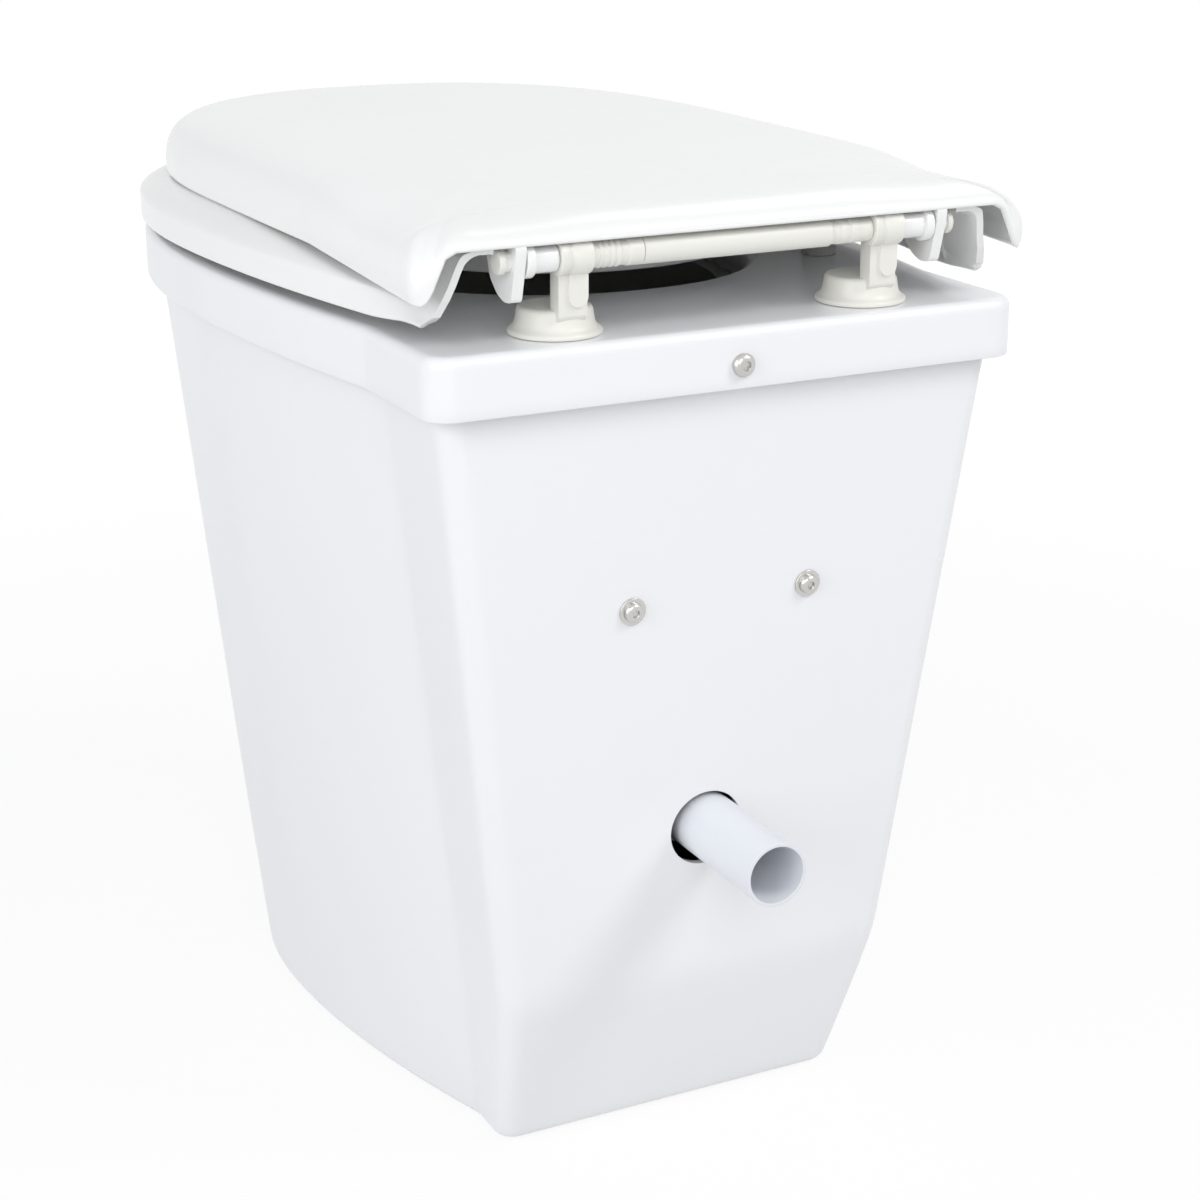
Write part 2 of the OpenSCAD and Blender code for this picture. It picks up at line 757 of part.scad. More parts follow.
module container_bail() {
    color("silver") translate([0, container_y, ear_z]) rotate([bail_rest_angle, 0, 0]) mirror_pair() {
        rod_x(bail_wire_d, container_r - 1, bail_r);
        translate([bail_r, 0, 0]) sphere(d = bail_wire_d);
        translate([bail_r, 0, 0]) rod_y(bail_wire_d, -bail_leg, 0);
        translate([bail_middle, -bail_leg, 0]) rotate([0, 0, -90])
            rotate_extrude(angle = 90, $fn = 96) translate([bail_bend_r, 0]) circle(d = bail_wire_d);
        translate([0, -bail_r, 0]) rod_x(bail_wire_d, 0, bail_middle);
    }
}

module bail_grip() {
    color([0.9, 0.9, 0.88]) translate([0, container_y, ear_z]) rotate([bail_rest_angle, 0, 0])
        translate([0, -bail_r, 0]) difference() {
            rod_x(grip_d, -grip_l / 2, grip_l / 2);
            rod_x(bail_wire_d + 2 * rod_clearance, -grip_l, grip_l);
        }
}

// Hinge: posts on eccentric feet, a rod through both barrels, three tubes on the rod
rod_y0 = cover_rear_y - rod_inset;
rod_z0 = deck_z + rod_height;
rod_bore = rod_d + 2 * rod_clearance;
foot_y = rod_y0 - foot_offset;
post_x = post_spacing / 2;
base_plate_d = 28;
base_plate_h = 5;
neck_rear = 2.5;
neck_front_y = rod_y0 + neck_rear - neck_d;
recess_w = 7;
recess_depth = 0.8;
recess_z0 = 15.5;
recess_z1 = 28;
stud_head_d = 14;
stud_head_h = 3.2;

module at_rod() {
    translate([0, rod_y0, rod_z0]) children();
}

module hinge_post() {
    bottom = deck_z + rest_gap;
    neck_h = rod_z0 - bottom - base_plate_h + weld;
    color([0.96, 0.95, 0.9]) difference() {
        union() {
            translate([post_x, 0, 0]) at_rod() rod_x(barrel_d, -barrel_l / 2, barrel_l / 2);
            translate([post_x, foot_y, bottom]) cylinder(d = base_plate_d, h = base_plate_h);
            translate([post_x - neck_w / 2, neck_front_y, bottom + base_plate_h - weld])
                cube([neck_w, neck_d, neck_h]);
            intersection() {
                foot_bell();
                translate([post_x - neck_w / 2, neck_front_y, bottom]) cube([neck_w, foot_d, foot_h]);
            }
        }
        translate([post_x, 0, 0]) at_rod() rod_x(rod_bore, -barrel_l, barrel_l);
        translate([post_x, foot_y, bottom - 1])
            cylinder(d = stud_d + 2 * screw_clearance, h = base_plate_h + 2);
        recess_y = rod_y0 + neck_rear - recess_depth;
        translate([post_x, recess_y, deck_z + recess_z0]) cube_recess();
    }
}

// Shallow recess with a round top in the back of a neck
module cube_recess() {
    translate([-recess_w / 2, 0, -3]) cube([recess_w, recess_depth + 1, recess_z1 - recess_z0]);
    translate([0, 0, recess_z1 - recess_z0 - 3]) rod_y(recess_w, 0, recess_depth + 1);
}

module hinge_post_left() { hinge_post(); }
module hinge_post_right() { mirror([1, 0, 0]) hinge_post(); }

// Outside of a foot; the part of it behind the neck belongs to the post
module foot_bell() {
    top = foot_top_d / 2;
    low = foot_d / 2;
    translate([post_x, foot_y, deck_z + rest_gap]) rotate_extrude($fn = 64) polygon([
        [0, 0], [low, 0], [low, 1.4], [low - 1.1, 2.6], [mix(low, top, 0.5), 4.6],
        [mix(low, top, 0.82), 7.5], [top, foot_h - 1], [top - 1, foot_h], [0, foot_h]
    ]);
}

module hinge_foot() {
    z0 = deck_z + rest_gap;
    cavity_h = base_plate_h + stud_head_h + rest_gap;
    gap = rest_gap;
    color([0.96, 0.95, 0.9]) difference() {
        foot_bell();
        translate([post_x, foot_y, z0 - 1])
            cylinder(d = base_plate_d + 2 * gap, h = cavity_h + 1);
        translate([post_x - neck_w / 2 - gap, neck_front_y - gap, z0 - 1])
            cube([neck_w + 2 * gap, foot_d, foot_h + 2]);
    }
}

module hinge_foot_left() { hinge_foot(); }
module hinge_foot_right() { mirror([1, 0, 0]) hinge_foot(); }

module hinge_studs() {
    top = deck_z + rest_gap + base_plate_h;
    color("silver") mirror_pair() translate([post_x, foot_y, 0]) {
        translate([0, 0, top]) cylinder(d = stud_head_d, h = stud_head_h);
        translate([0, 0, top - base_plate_h - stud_l])
            cylinder(d = stud_d, h = stud_l + base_plate_h + weld);
    }
}

stud_washer_d = 24;
stud_washer_t = 2;

module stud_washers() {
    color("silver") mirror_pair() translate([post_x, foot_y, ceiling_z - stud_washer_t]) difference() {
        cylinder(d = stud_washer_d, h = stud_washer_t);
        translate([0, 0, -1]) cylinder(d = stud_d + 2 * rod_clearance, h = stud_washer_t + 2);
    }
}

wing_hub_d = 14;
wing_hub_h = 9;
wing_reach = 16;
wing_t = 3;

module wing_nuts() {
    z1 = ceiling_z - stud_washer_t;
    color([0.9, 0.9, 0.88]) mirror_pair() translate([post_x, foot_y, z1 - wing_hub_h]) difference() {
        union() {
            cylinder(d = wing_hub_d, h = wing_hub_h);
            translate([-wing_reach, -wing_t / 2, -4]) cube([2 * wing_reach, wing_t, 9]);
        }
        translate([0, 0, -6]) cylinder(d = stud_d + 2 * rod_clearance, h = wing_hub_h + 8);
    }
}

// Places along the rod, outwards from a barrel: the seat's lug, the lid's lug, the rod's end
seat_lug_x = post_x + barrel_l / 2 + 12;
seat_lug_t = 4;
lid_lug_x = seat_lug_x + seat_lug_t + 5;
lid_lug_t = 3.5;
rod_half = lid_lug_x + lid_lug_t + 2.7;
cap_d = 11;
cap_l = 3;
cap_depth = 2;

module hinge_rod() {
    color([0.93, 0.93, 0.9]) at_rod() rod_x(rod_d, -rod_half, rod_half);
}

module rod_end_caps() {
    color([0.96, 0.95, 0.9]) mirror_pair() at_rod() difference() {
        rod_x(cap_d, rod_half - cap_depth, rod_half - cap_depth + cap_l);
        rod_x(rod_d + 2 * pipe_fit, rod_half - cap_depth - 1, rod_half);
    }
}

// Tubes on the rod between the posts, from the left barrel to the right one
barrel_face = post_x - barrel_l / 2;
tube_gap = 0.3;
ribbed_end = 47;
sleeve_end = -50;
step_end = -61;
sleeve_d = 13;
bush_d = 12;
rib_d = 13;
rib_count = 5;
rib_pitch = 3;
rib_w = 1.7;
step_d = 11.4;

module tube_on_rod(d, x0, x1) {
    at_rod() difference() {
        rod_x(d, x0, x1);
        rod_x(rod_bore, x0 - 1, x1 + 1);
    }
}

module rod_sleeve() {
    color([0.97, 0.97, 0.95]) tube_on_rod(sleeve_d, sleeve_end, ribbed_end - tube_gap);
}

module ribbed_bush() {
    x1 = barrel_face - tube_gap;
    color([0.96, 0.95, 0.9]) {
        tube_on_rod(bush_d, ribbed_end, x1);
        tube_on_rod(rib_d, ribbed_end, ribbed_end + 7);
        for (i = [0 : rib_count - 1])
            let (x = x1 - rib_w - i * rib_pitch) tube_on_rod(rib_d, x, x + rib_w);
    }
}

module stepped_bush() {
    x0 = sleeve_end - tube_gap;
    color([0.96, 0.95, 0.9]) {
        tube_on_rod(step_d, -barrel_face + tube_gap, x0);
        for (i = [0 : 1])
            let (x = x0 - 4 - i * 5.5) tube_on_rod(bush_d, x, x + 4);
    }
}

// Seat: a hollow ring that rises towards the hinge and ends in an open ear on each side
seat_edge_z = deck_z + seat_gap;
seat_crown_z = seat_edge_z + seat_h;
seat_side_z = seat_edge_z + seat_side_h;
seat_hole_z = seat_crown_z - 7;
seat_hole_low = seat_edge_z + 2;
seat_hole_y = -29;
seat_crown_share = 0.6;
seat_power = 1.4;
seat_block_y = rod_y0 + 24;
seat_outline = [
    seat_rear_w / 2, seat_w / 2, seat_block_y, rod_y0 - 35,
    -46, rod_y0 - seat_l, 8, 2.2
];
rise_start_y = rod_y0 - 62;
rise_l = 45;
notch_front_y = rod_y0 - 24;
notch_w = 2 * (rod_half + 3.3);
seat_inner_x = 115;

// Height of the seat's top, k = 0 at the outer edge and 1 at the hole
function seat_top(k) =
    let (c = seat_crown_share)
    k < c
    ? seat_side_z + (seat_crown_z - seat_side_z)
        * pow(1 - pow((c - k) / c, seat_power), 1 / seat_power)
    : seat_crown_z - (seat_crown_z - seat_hole_z) * pow((k - c) / (1 - c), 2);

// Section of the seat, outside first: share of the way to the hole, step inwards, height,
// and for the ears the step inwards and the height above the rod's axis
w_seat = shell_wall;
seat_section = [
    [0, 0, seat_edge_z, 0, -27],
    [0, 0, seat_side_z, 4, -23.5],
    [0.04, 0, seat_top(0.04), 7, -18],
    [0.12, 0, seat_top(0.12), 10.5, -9.5],
    [0.25, 0, seat_top(0.25), 13, -1],
    [0.42, 0, seat_top(0.42), 15.5, 4.5],
    [0.6, 0, seat_top(0.6), 21, 6.3],
    [0.78, 0, seat_top(0.78), 26, 7.1],
    [0.92, 0, seat_top(0.92)],
    [1, 0, seat_hole_z],
    [1, 0, seat_hole_low],
    [1, -w_seat, seat_hole_low],
    [1, -w_seat, seat_hole_z - w_seat],
    [0.92, 0, seat_top(0.92) - w_seat],
    [0.78, 0, seat_top(0.78) - w_seat, 26, 7.1 - w_seat],
    [0.6, 0, seat_top(0.6) - w_seat, 21, 6.2 - w_seat],
    [0.42, 0, seat_top(0.42) - w_seat, 17.3, 4.3 - w_seat],
    [0.25, 0, seat_top(0.25) - w_seat, 15.6, -1.8],
    [0.12, 0, seat_top(0.12) - w_seat, 13.2, -10],
    [0.04, w_seat - 1.5, seat_top(0.04) - w_seat, 9.6, -18.5],
    [0, w_seat, seat_side_z - 1, 6.4, -24.5],
    [0, w_seat, seat_edge_z, 2.4, -27.6]
];

// How much a point belongs to the ears: 0 along the sides, 1 beside the hinge
function ear_share(p) = smooth((p[1] - rise_start_y) / rise_l);

// Point of the section's station q that starts at the outline's point p
function seat_point(p, q) =
    let (
        way = oval_point(p, seat_hole_w, seat_hole_l, seat_hole_y, 0, opening_power) - p,
        flat = p + way * q[0] + unit(way) * q[1],
        inner = [sign(p[0]) * min(abs(p[0]), seat_inner_x), min(p[1], seat_block_y - 28)],
        e = len(q) > 3 ? ear_share(p) : 0,
        ear = e > 0 ? p + unit(inner - p) * q[3] : flat,
        s = mix(flat, ear, e),
        z = e > 0 ? mix(q[2], rod_z0 + q[4], e) : q[2]
    )
    [s[0], s[1], z];

module seat_shell() {
    ring_loop([for (q = seat_section) [for (p = outline(seat_outline)) seat_point(p, q)]]);
}

buffer_places = [[125, 100], [95, -203]];
seat_boss_d = 16;
seat_eye_d = 16;
seat_hub_d = 12.4;

// Side view around the rod: what lies behind this slanted line is cut off the ears
ear_cut = [[-11, -40], [5, 10], [60, 10], [60, -40]];

module seat() {
    boss_z = deck_z + seat_pad_h + rest_gap;
    hub_x = post_x + barrel_l / 2 + rest_gap;
    color([0.98, 0.98, 0.96]) difference() {
        union() {
            difference() {
                seat_shell();
                translate([-notch_w / 2, notch_front_y, deck_z]) cube([notch_w, 60, 60]);
                translate([-seat_w / 2, 0, 0]) at_rod() rotate([90, 0, 90])
                    linear_extrude(seat_w) polygon(ear_cut);
            }
            mirror_pair() translate([seat_lug_x, 0, 0]) seat_lug();
            mirror_pair() at_rod() rod_x(seat_hub_d, hub_x, seat_lug_x + weld);
            mirror_pair() for (p = buffer_places)
                translate([p[0], p[1], boss_z])
                    cylinder(d = seat_boss_d, h = seat_crown_z - 3.5 - boss_z);
        }
        mirror_pair() at_rod() rod_x(rod_bore, hub_x - 1, seat_lug_x + seat_lug_t + 1);
    }
}

// Arm from inside the seat to an eye around the rod, drawn in the plane across the rod
module seat_lug() {
    e = seat_eye_d / 2;
    at_rod() rotate([90, 0, 90]) linear_extrude(seat_lug_t) {
        circle(d = seat_eye_d);
        polygon([[2, -e + 0.4], [-e - 6, -17], [-60, -17], [-60, -3], [-24.5, 3.5], [-e + 1, 3.5]]);
    }
}

seat_pad_h = 7.7;
seat_pad_d = 18;

module seat_buffers() {
    color([0.9, 0.9, 0.88]) mirror_pair() for (p = buffer_places)
        translate([p[0], p[1], deck_z + rest_gap]) cylinder(d = seat_pad_d, h = seat_pad_h);
}

// Lid: a domed shell with a rear bar over the hinge and two ears beside it
lid_top_z = deck_z + lid_top;
lid_edge_z = deck_z + lid_edge;
ear_tip_z = deck_z + ear_tip;
bar_edge_z = deck_z + bar_edge;
lid_rear_y = rod_y0 + 8.5;
lid_front_y = lid_rear_y - lid_l;
lid_centre = [0, 9];
lid_ear_y = 104;
lid_corner_r = 8;
ear_start_x = 140;
ear_end_x = 154;
lid_outline = [
    lid_w / 2 - 1.2, lid_w / 2, lid_rear_y, 96, -38, lid_front_y, lid_corner_r, 2.43
];
lid_shares = [1, 0.997, 0.99, 0.98, 0.965, 0.94, 0.9, 0.84, 0.75, 0.6, 0.3];
dome_power = 12.8;
dome_round = 2.97;

// Height of the lid's lower edge: low along the sides, high below the rear bar
function lid_low(p) =
    let (
        ear = mix(lid_edge_z, ear_tip_z, clamp01((p[1] - lid_ear_y) / (lid_rear_y - lid_ear_y))),
        bar = 1 - smooth((abs(p[0]) - ear_start_x) / (ear_end_x - ear_start_x)),
        rear = clamp01((p[1] - lid_rear_y + lid_corner_r + 0.01) / lid_corner_r)
    )
    mix(ear, bar_edge_z, bar * (rear > 0 ? 1 : 0));

function dome(s) = s > 0.999 ? 0 : s < 0.4 ? 1 : pow(1 - pow(s, dome_power), 1 / dome_round);

function lid_ring(s, d, drop) = [for (p = outline(lid_outline))
    let (
        way = lid_centre - p,
        q = p + way * (1 - s) + unit(way) * d,
        low = lid_low(p)
    )
    [q[0], q[1], low + (lid_top_z - drop - low) * dome(s)]];

// Share of the way from the lid's centre to its outline at which a place lies
function lid_share(place) =
    let (o = outline(lid_outline), n = len(o))
    max([for (i = [0 : n - 1])
        let (
            a = o[i] - lid_centre,
            b = o[(i + 1) % n] - lid_centre,
            across = [b[1] - a[1], a[0] - b[0]]
        )
        (across * (place - lid_centre)) / (across * a)]);

// Height in the middle of the lid's wall, above a place along its sides or front
function lid_wall_z(place) =
    lid_edge_z + (lid_top_z - lid_edge_z) * dome(lid_share(place)) - shell_wall / 2;

// Outline of a lug around the rod: distance behind and above the rod's axis
lid_lug_points = [
    [-23, 21.5], [-23, 1], [-19, -10], [-12, -16], [-2, -18],
    [6.5, 6], [6.5, 12], [3, 16], [-4, 19]
];
lid_buffer_places = [[135, -20], [85, -187]];
lid_boss_d = 12;
lid_pad_d = 14;
lid_pad_h = 7;

module lid() {
    w = shell_wall;
    n = len(lid_shares);
    inner = [for (i = [n - 1 : -1 : 0]) lid_ring(lid_shares[i], w, w)];
    outer = [for (s = lid_shares) lid_ring(s, 0, 0)];
    pad_top = seat_crown_z + rest_gap + lid_pad_h;
    color([0.98, 0.98, 0.96]) difference() {
        union() {
            ring_solid(concat(inner, outer));
            mirror_pair() translate([lid_lug_x, 0, 0]) at_rod() rotate([90, 0, 90])
                linear_extrude(lid_lug_t) polygon(lid_lug_points);
            mirror_pair() for (p = lid_buffer_places)
                translate([p[0], p[1], pad_top]) cylinder(d = lid_boss_d, h = lid_wall_z(p) - pad_top);
        }
        mirror_pair() at_rod() rod_x(rod_bore, lid_lug_x - 1, lid_lug_x + lid_lug_t + 1);
    }
}

module lid_buffers() {
    color([0.9, 0.9, 0.88]) mirror_pair() for (p = lid_buffer_places)
        translate([p[0], p[1], seat_crown_z + rest_gap]) cylinder(d = lid_pad_d, h = lid_pad_h);
}

body_shell();
top_cover();
cover_screw();
cover_screw_nut();
bowl_insert();
urine_hose();
hose_clips();
drain_elbow();
drain_pipe();
inner_bracket();
bracket_screws();
bracket_washers();
bracket_nuts();
waste_container();
container_bail();
bail_grip();
hinge_post_left();
hinge_post_right();
hinge_foot_left();
hinge_foot_right();
hinge_studs();
stud_washers();
wing_nuts();
hinge_rod();
rod_end_caps();
rod_sleeve();
ribbed_bush();
stepped_bush();
seat();
seat_buffers();
lid();
lid_buffers();
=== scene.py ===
import json

import bmesh
import bpy
import numpy as np
from mathutils import Matrix

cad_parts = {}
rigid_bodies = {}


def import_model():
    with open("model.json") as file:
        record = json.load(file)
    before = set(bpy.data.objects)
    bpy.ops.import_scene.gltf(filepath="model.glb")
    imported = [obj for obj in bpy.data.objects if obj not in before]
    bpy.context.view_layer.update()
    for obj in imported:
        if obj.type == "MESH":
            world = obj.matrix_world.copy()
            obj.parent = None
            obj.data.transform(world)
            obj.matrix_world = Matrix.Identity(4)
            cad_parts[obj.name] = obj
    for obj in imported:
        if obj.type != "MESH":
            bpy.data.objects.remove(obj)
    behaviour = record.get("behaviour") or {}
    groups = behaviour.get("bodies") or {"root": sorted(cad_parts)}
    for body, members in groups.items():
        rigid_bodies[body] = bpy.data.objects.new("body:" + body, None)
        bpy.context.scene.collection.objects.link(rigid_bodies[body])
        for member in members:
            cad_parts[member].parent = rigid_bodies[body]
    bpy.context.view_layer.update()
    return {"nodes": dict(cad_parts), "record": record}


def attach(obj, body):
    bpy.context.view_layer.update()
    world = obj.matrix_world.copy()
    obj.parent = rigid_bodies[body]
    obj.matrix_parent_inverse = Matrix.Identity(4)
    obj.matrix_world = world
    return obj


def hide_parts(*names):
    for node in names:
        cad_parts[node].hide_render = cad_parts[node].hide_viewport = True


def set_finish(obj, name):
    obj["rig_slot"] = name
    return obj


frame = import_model()
nodes = frame["nodes"]
MM = 0.001

# ---------------------------------------------------------------- camera

CAMERA_BACK = np.array([0.4278, 0.8459, 0.3185])
CAMERA_AIM = np.array([-0.02292, 0.05069, 0.23622])
CAMERA_DISTANCE = 1.3185
PHOTO_FOCUS = 2430.95
PHOTO_WIDTH = 1200


def add_camera():
    """Camera looking along -back at the aim point; lens = focus in pixels / photo width * sensor width."""
    data = bpy.data.cameras.new("camera")
    data.sensor_width = 36.0
    data.sensor_fit = "HORIZONTAL"
    data.lens = PHOTO_FOCUS / PHOTO_WIDTH * data.sensor_width
    data.clip_end = 100
    camera = bpy.data.objects.new("camera", data)
    back = CAMERA_BACK / np.linalg.norm(CAMERA_BACK)
    right = np.cross([0, 0, 1], back)
    right /= np.linalg.norm(right)
    turn = np.column_stack([right, np.cross(back, right), back])
    place = np.eye(4)
    place[:3, :3] = turn
    place[:3, 3] = CAMERA_AIM + back * CAMERA_DISTANCE
    camera.matrix_world = Matrix(place.tolist())
    bpy.context.scene.collection.objects.link(camera)
    bpy.context.scene.camera = camera


add_camera()

# ---------------------------------------------------------------- sizes, in millimetres

deck_z = 425.0
base_rear_y = 177.5
fold_rear_y = base_rear_y + 31
top_rear_y = 231.2
cover_rear_y = 238.5
bend_y = cover_rear_y - 78
cover_front_y = -286.5
skirt_z = 396.5
ceiling_z = 421.0
body_top_z = 420.7
ledge_z = 404.0
widest_y = -36.0
front_power = 2.33
opening_power = 2.2
rod_y = 226.5
rod_z = 462.0
foot_y = 209.5
post_x = 80.0
shell_wall = 2.5
rod_bore = 9.16
at_rod = (0, rod_y, rod_z)
pipe_z = 172.6
screw_z = 407.9
screw_hole = 6.6
stud_hole = 8.6
bracket_x = 47.2
bracket_z = 292.8
bracket_hole = 5.6
opening_oval = (260, 340, -26)
seat_hole_oval = (224, 320, -29)

# Outlines hold eight values: half width at the back and at the widest place; y of the back, of the
# bend where the side leaves its straight, of the widest place and of the front; radius of the rear
# corners; power of the front curve.
cover_outline = [152, 171, cover_rear_y, bend_y, widest_y, cover_front_y, 13, front_power]
top_outline = [146.8, 165.8, top_rear_y, bend_y, widest_y, -279.2, 11, front_power]
fold_z = 92.0
fold_share = fold_z / body_top_z
fold_outline = [97 + 49.8 * fold_share, 136, fold_rear_y, base_rear_y - 30 * (1 - fold_share),
                widest_y, -base_rear_y - 47, 11, front_power]
base_outline = [97, 130.5, base_rear_y, base_rear_y - 30, widest_y, -base_rear_y, 11, front_power]


# ---------------------------------------------------------------- shapes

def smooth(t):
    """Ease from 0 to 1: 3t^2 - 2t^3, held level outside."""
    t = np.clip(t, 0, 1)
    return t * t * (3 - 2 * t)


def unit(v):
    """Vectors of length 1 along the last axis."""
    return v / np.maximum(np.linalg.norm(v, axis=-1, keepdims=True), 1e-9)


def outline(o, rear=30, corner=10, side=56, front=64):
    """Plan of a rounded tub, for one row of eight values or a stack of them.

    Straight back at y = yr, a quarter circle of radius r round each corner, a side whose half width is
    wr + (wm - wr)(1 - (1 - run)^1.8) with run from 0 at ys to 1 at ym, and a front on
    x = wm cos(a)^(2/p), y = ym + (yf - ym) sin(a)^(2/p).
    """
    o = np.asarray(o, float)[..., None]
    wr, wm, yr, ys, ym, yf, r, power = (o[..., k, :] for k in range(8))
    flat = wr - r
    s = np.linspace(0, 1, rear, endpoint=False)
    back = np.stack([flat * s, yr + 0 * s], -1)
    a = np.linspace(0, np.pi / 2, corner, endpoint=False)
    turn = np.stack([flat + r * np.sin(a), yr - r + r * np.cos(a)], -1)
    y = (yr - r) + (ym - yr + r) * np.linspace(0, 1, side, endpoint=False)
    run = np.clip((ys - y) / (ys - ym), 0, 1)
    flank = np.stack([wr + (wm - wr) * (1 - (1 - run) ** 1.8), y], -1)
    a = np.linspace(0, np.pi / 2, front)
    nose = np.stack([wm * np.cos(a).clip(0) ** (2 / power), ym + (yf - ym) * np.sin(a) ** (2 / power)], -1)
    half = np.concatenate([back, turn, flank, nose], -2)
    other = half[..., -2:0:-1, :] * [-1, 1]
    return np.concatenate([half, other], -2)


def inset(o, d):
    """The eight values of an outline drawn in by d."""
    o = np.asarray(o, float)
    d = np.asarray(d, float)
    zero = np.zeros_like(d)
    out = o + np.stack([-d, -d, -d, zero, zero, d, -d, zero], -1)
    out[..., 6] = np.maximum(out[..., 6], 2)
    return out


def lift(plan, z):
    """Plan points (..., n, 2) put at heights z that broadcast to (..., n)."""
    z = np.broadcast_to(z, plan.shape[:-1])
    return np.concatenate([plan, z[..., None]], -1)


def oval(points, w, l, y0, d, power=opening_power):
    """Where the ray from the oval's centre (0, y0) through each point meets the oval.

    The oval is |x/a|^p + |(y - y0)/b|^p = 1 with a = w/2 - d and b = l/2 - d.
    """
    v = points - np.array([0, y0])
    a = np.asarray(w / 2 - d)[..., None]
    b = np.asarray(l / 2 - d)[..., None]
    k = (np.abs(v[..., 0]) / a) ** power + (np.abs(v[..., 1]) / b) ** power
    return np.array([0, y0]) + v / k[..., None] ** (1 / power)


def curve_through(rows, per):
    """Cubic through the rows of a table, per steps in each gap, with slope (next - last) / 2 at each row."""
    p = np.asarray(rows, float)
    p = np.concatenate([[2 * p[0] - p[1]], p, [2 * p[-1] - p[-2]]])
    t = np.linspace(0, 1, per, endpoint=False)[None, :, None]
    p0, p1, p2, p3 = (p[k:len(p) - 3 + k][:, None, :] for k in range(4))
    c = 0.5 * (2 * p1 + (p2 - p0) * t + (2 * p0 - 5 * p1 + 4 * p2 - p3) * t ** 2
               + (3 * p1 - p0 - 3 * p2 + p3) * t ** 3)
    return np.concatenate([c.reshape(-1, p.shape[1]), p[-2:-1]])


def eased(profile, radius, steps=4, closed=True):
    """Polygon whose corners are eased: (1-t)^2 a + 2t(1-t) p + t^2 b.

    a and b lie a radius before and after corner p, and at most 0.48 of the way to the next corner.
    """
    p = np.asarray(profile, float)
    r = np.broadcast_to(np.asarray(radius, float), len(p))[:, None]
    before, after = np.roll(p, 1, 0) - p, np.roll(p, -1, 0) - p
    la, lb = (np.linalg.norm(v, axis=1, keepdims=True) for v in (before, after))
    a = p + before / la * np.minimum(r, 0.48 * la)
    b = p + after / lb * np.minimum(r, 0.48 * lb)
    t = np.linspace(0, 1, steps + 1)[None, :, None]
    c = (1 - t) ** 2 * a[:, None] + 2 * t * (1 - t) * p[:, None] + t ** 2 * b[:, None]
    if not closed:
        c[0], c[-1] = p[0], p[-1]
    return c.reshape(-1, p.shape[1])


def skin(rings, closed=False):
    """Skin over a stack of rings (m, n, 3): quads from ring to ring, and a fan at each open end."""
    rings = np.asarray(rings, float)
    m, n = rings.shape[:2]
    points = rings.reshape(-1, 3)
    i = np.arange(n)
    k = (i + 1) % n
    row = np.arange(m if closed else m - 1)[:, None]
    low, high = row * n, (row + 1) % m * n
    quads = np.stack([low + i, low + k, high + k, high + i], -1).reshape(-1, 4)
    faces = quads.tolist()
    if not closed:
        points = np.concatenate([points, rings[0].mean(0)[None], rings[-1].mean(0)[None]])
        first = np.stack([k, i, np.full(n, m * n)], -1)
        last = np.stack([(m - 1) * n + i, (m - 1) * n + k, np.full(n, m * n + 1)], -1)
        faces += first.tolist() + last.tolist()
    return points, faces


def turned(profile, steps=64, hollow=True):
    """Profile of (radius, height) rows turned round +Z: x = r cos a, y = r sin a.

    A hollow one closes on itself, and a full one has a fan at each end.
    """
    p = np.asarray(profile, float)
    a = np.linspace(0, 2 * np.pi, steps, endpoint=False)
    rings = np.stack([p[:, :1] * np.cos(a), p[:, :1] * np.sin(a), p[:, 1:] + 0 * a], -1)
    return skin(rings, closed=hollow)


def plate(polygon, thickness):
    """Polygon in the X-Y plane with a thickness from z = 0 upwards."""
    p = np.asarray(polygon, float)
    n = len(p)
    points = np.concatenate([lift(p, 0.0), lift(p, thickness)])
    i = np.arange(n)
    k = (i + 1) % n
    sides = np.stack([i, k, n + k, n + i], -1).tolist()
    return points, sides + [i[::-1].tolist(), (n + i).tolist()]


AXES = {
    "x": np.array([[0, 0, 1], [1, 0, 0], [0, 1, 0.0]]),
    "y": np.array([[1, 0, 0], [0, 0, 1], [0, -1, 0.0]]),
    "z": np.eye(3),
}


def placed(shape, axis="z", at=(0, 0, 0), flip=False):
    """Shape drawn round +Z with its Z axis turned to an axis, moved to a place; flip mirrors it in X."""
    points = shape[0] @ AXES[axis].T + np.asarray(at, float)
    if flip:
        points = points * [-1, 1, 1]
    return points, shape[1]


def together(*shapes):
    """Several shapes as one list of points and faces."""
    starts = np.cumsum([0] + [len(s[0]) for s in shapes[:-1]])
    faces = [[v + int(b) for v in f] for s, b in zip(shapes, starts) for f in s[1]]
    return np.concatenate([s[0] for s in shapes]), faces


def mesh_of(name, shape):
    """Mesh of a shape in metres, its faces turned to point outwards, so that its volume is positive."""
    me = bpy.data.meshes.new(name)
    me.from_pydata((shape[0] * MM).tolist(), [], shape[1])
    bm = bmesh.new()
    bm.from_mesh(me)
    bmesh.ops.remove_doubles(bm, verts=bm.verts, dist=1e-7)
    bmesh.ops.recalc_face_normals(bm, faces=bm.faces)
    if bm.calc_volume(signed=True) < 0:
        bmesh.ops.reverse_faces(bm, faces=bm.faces)
    bm.to_mesh(me)
    bm.free()
    return me


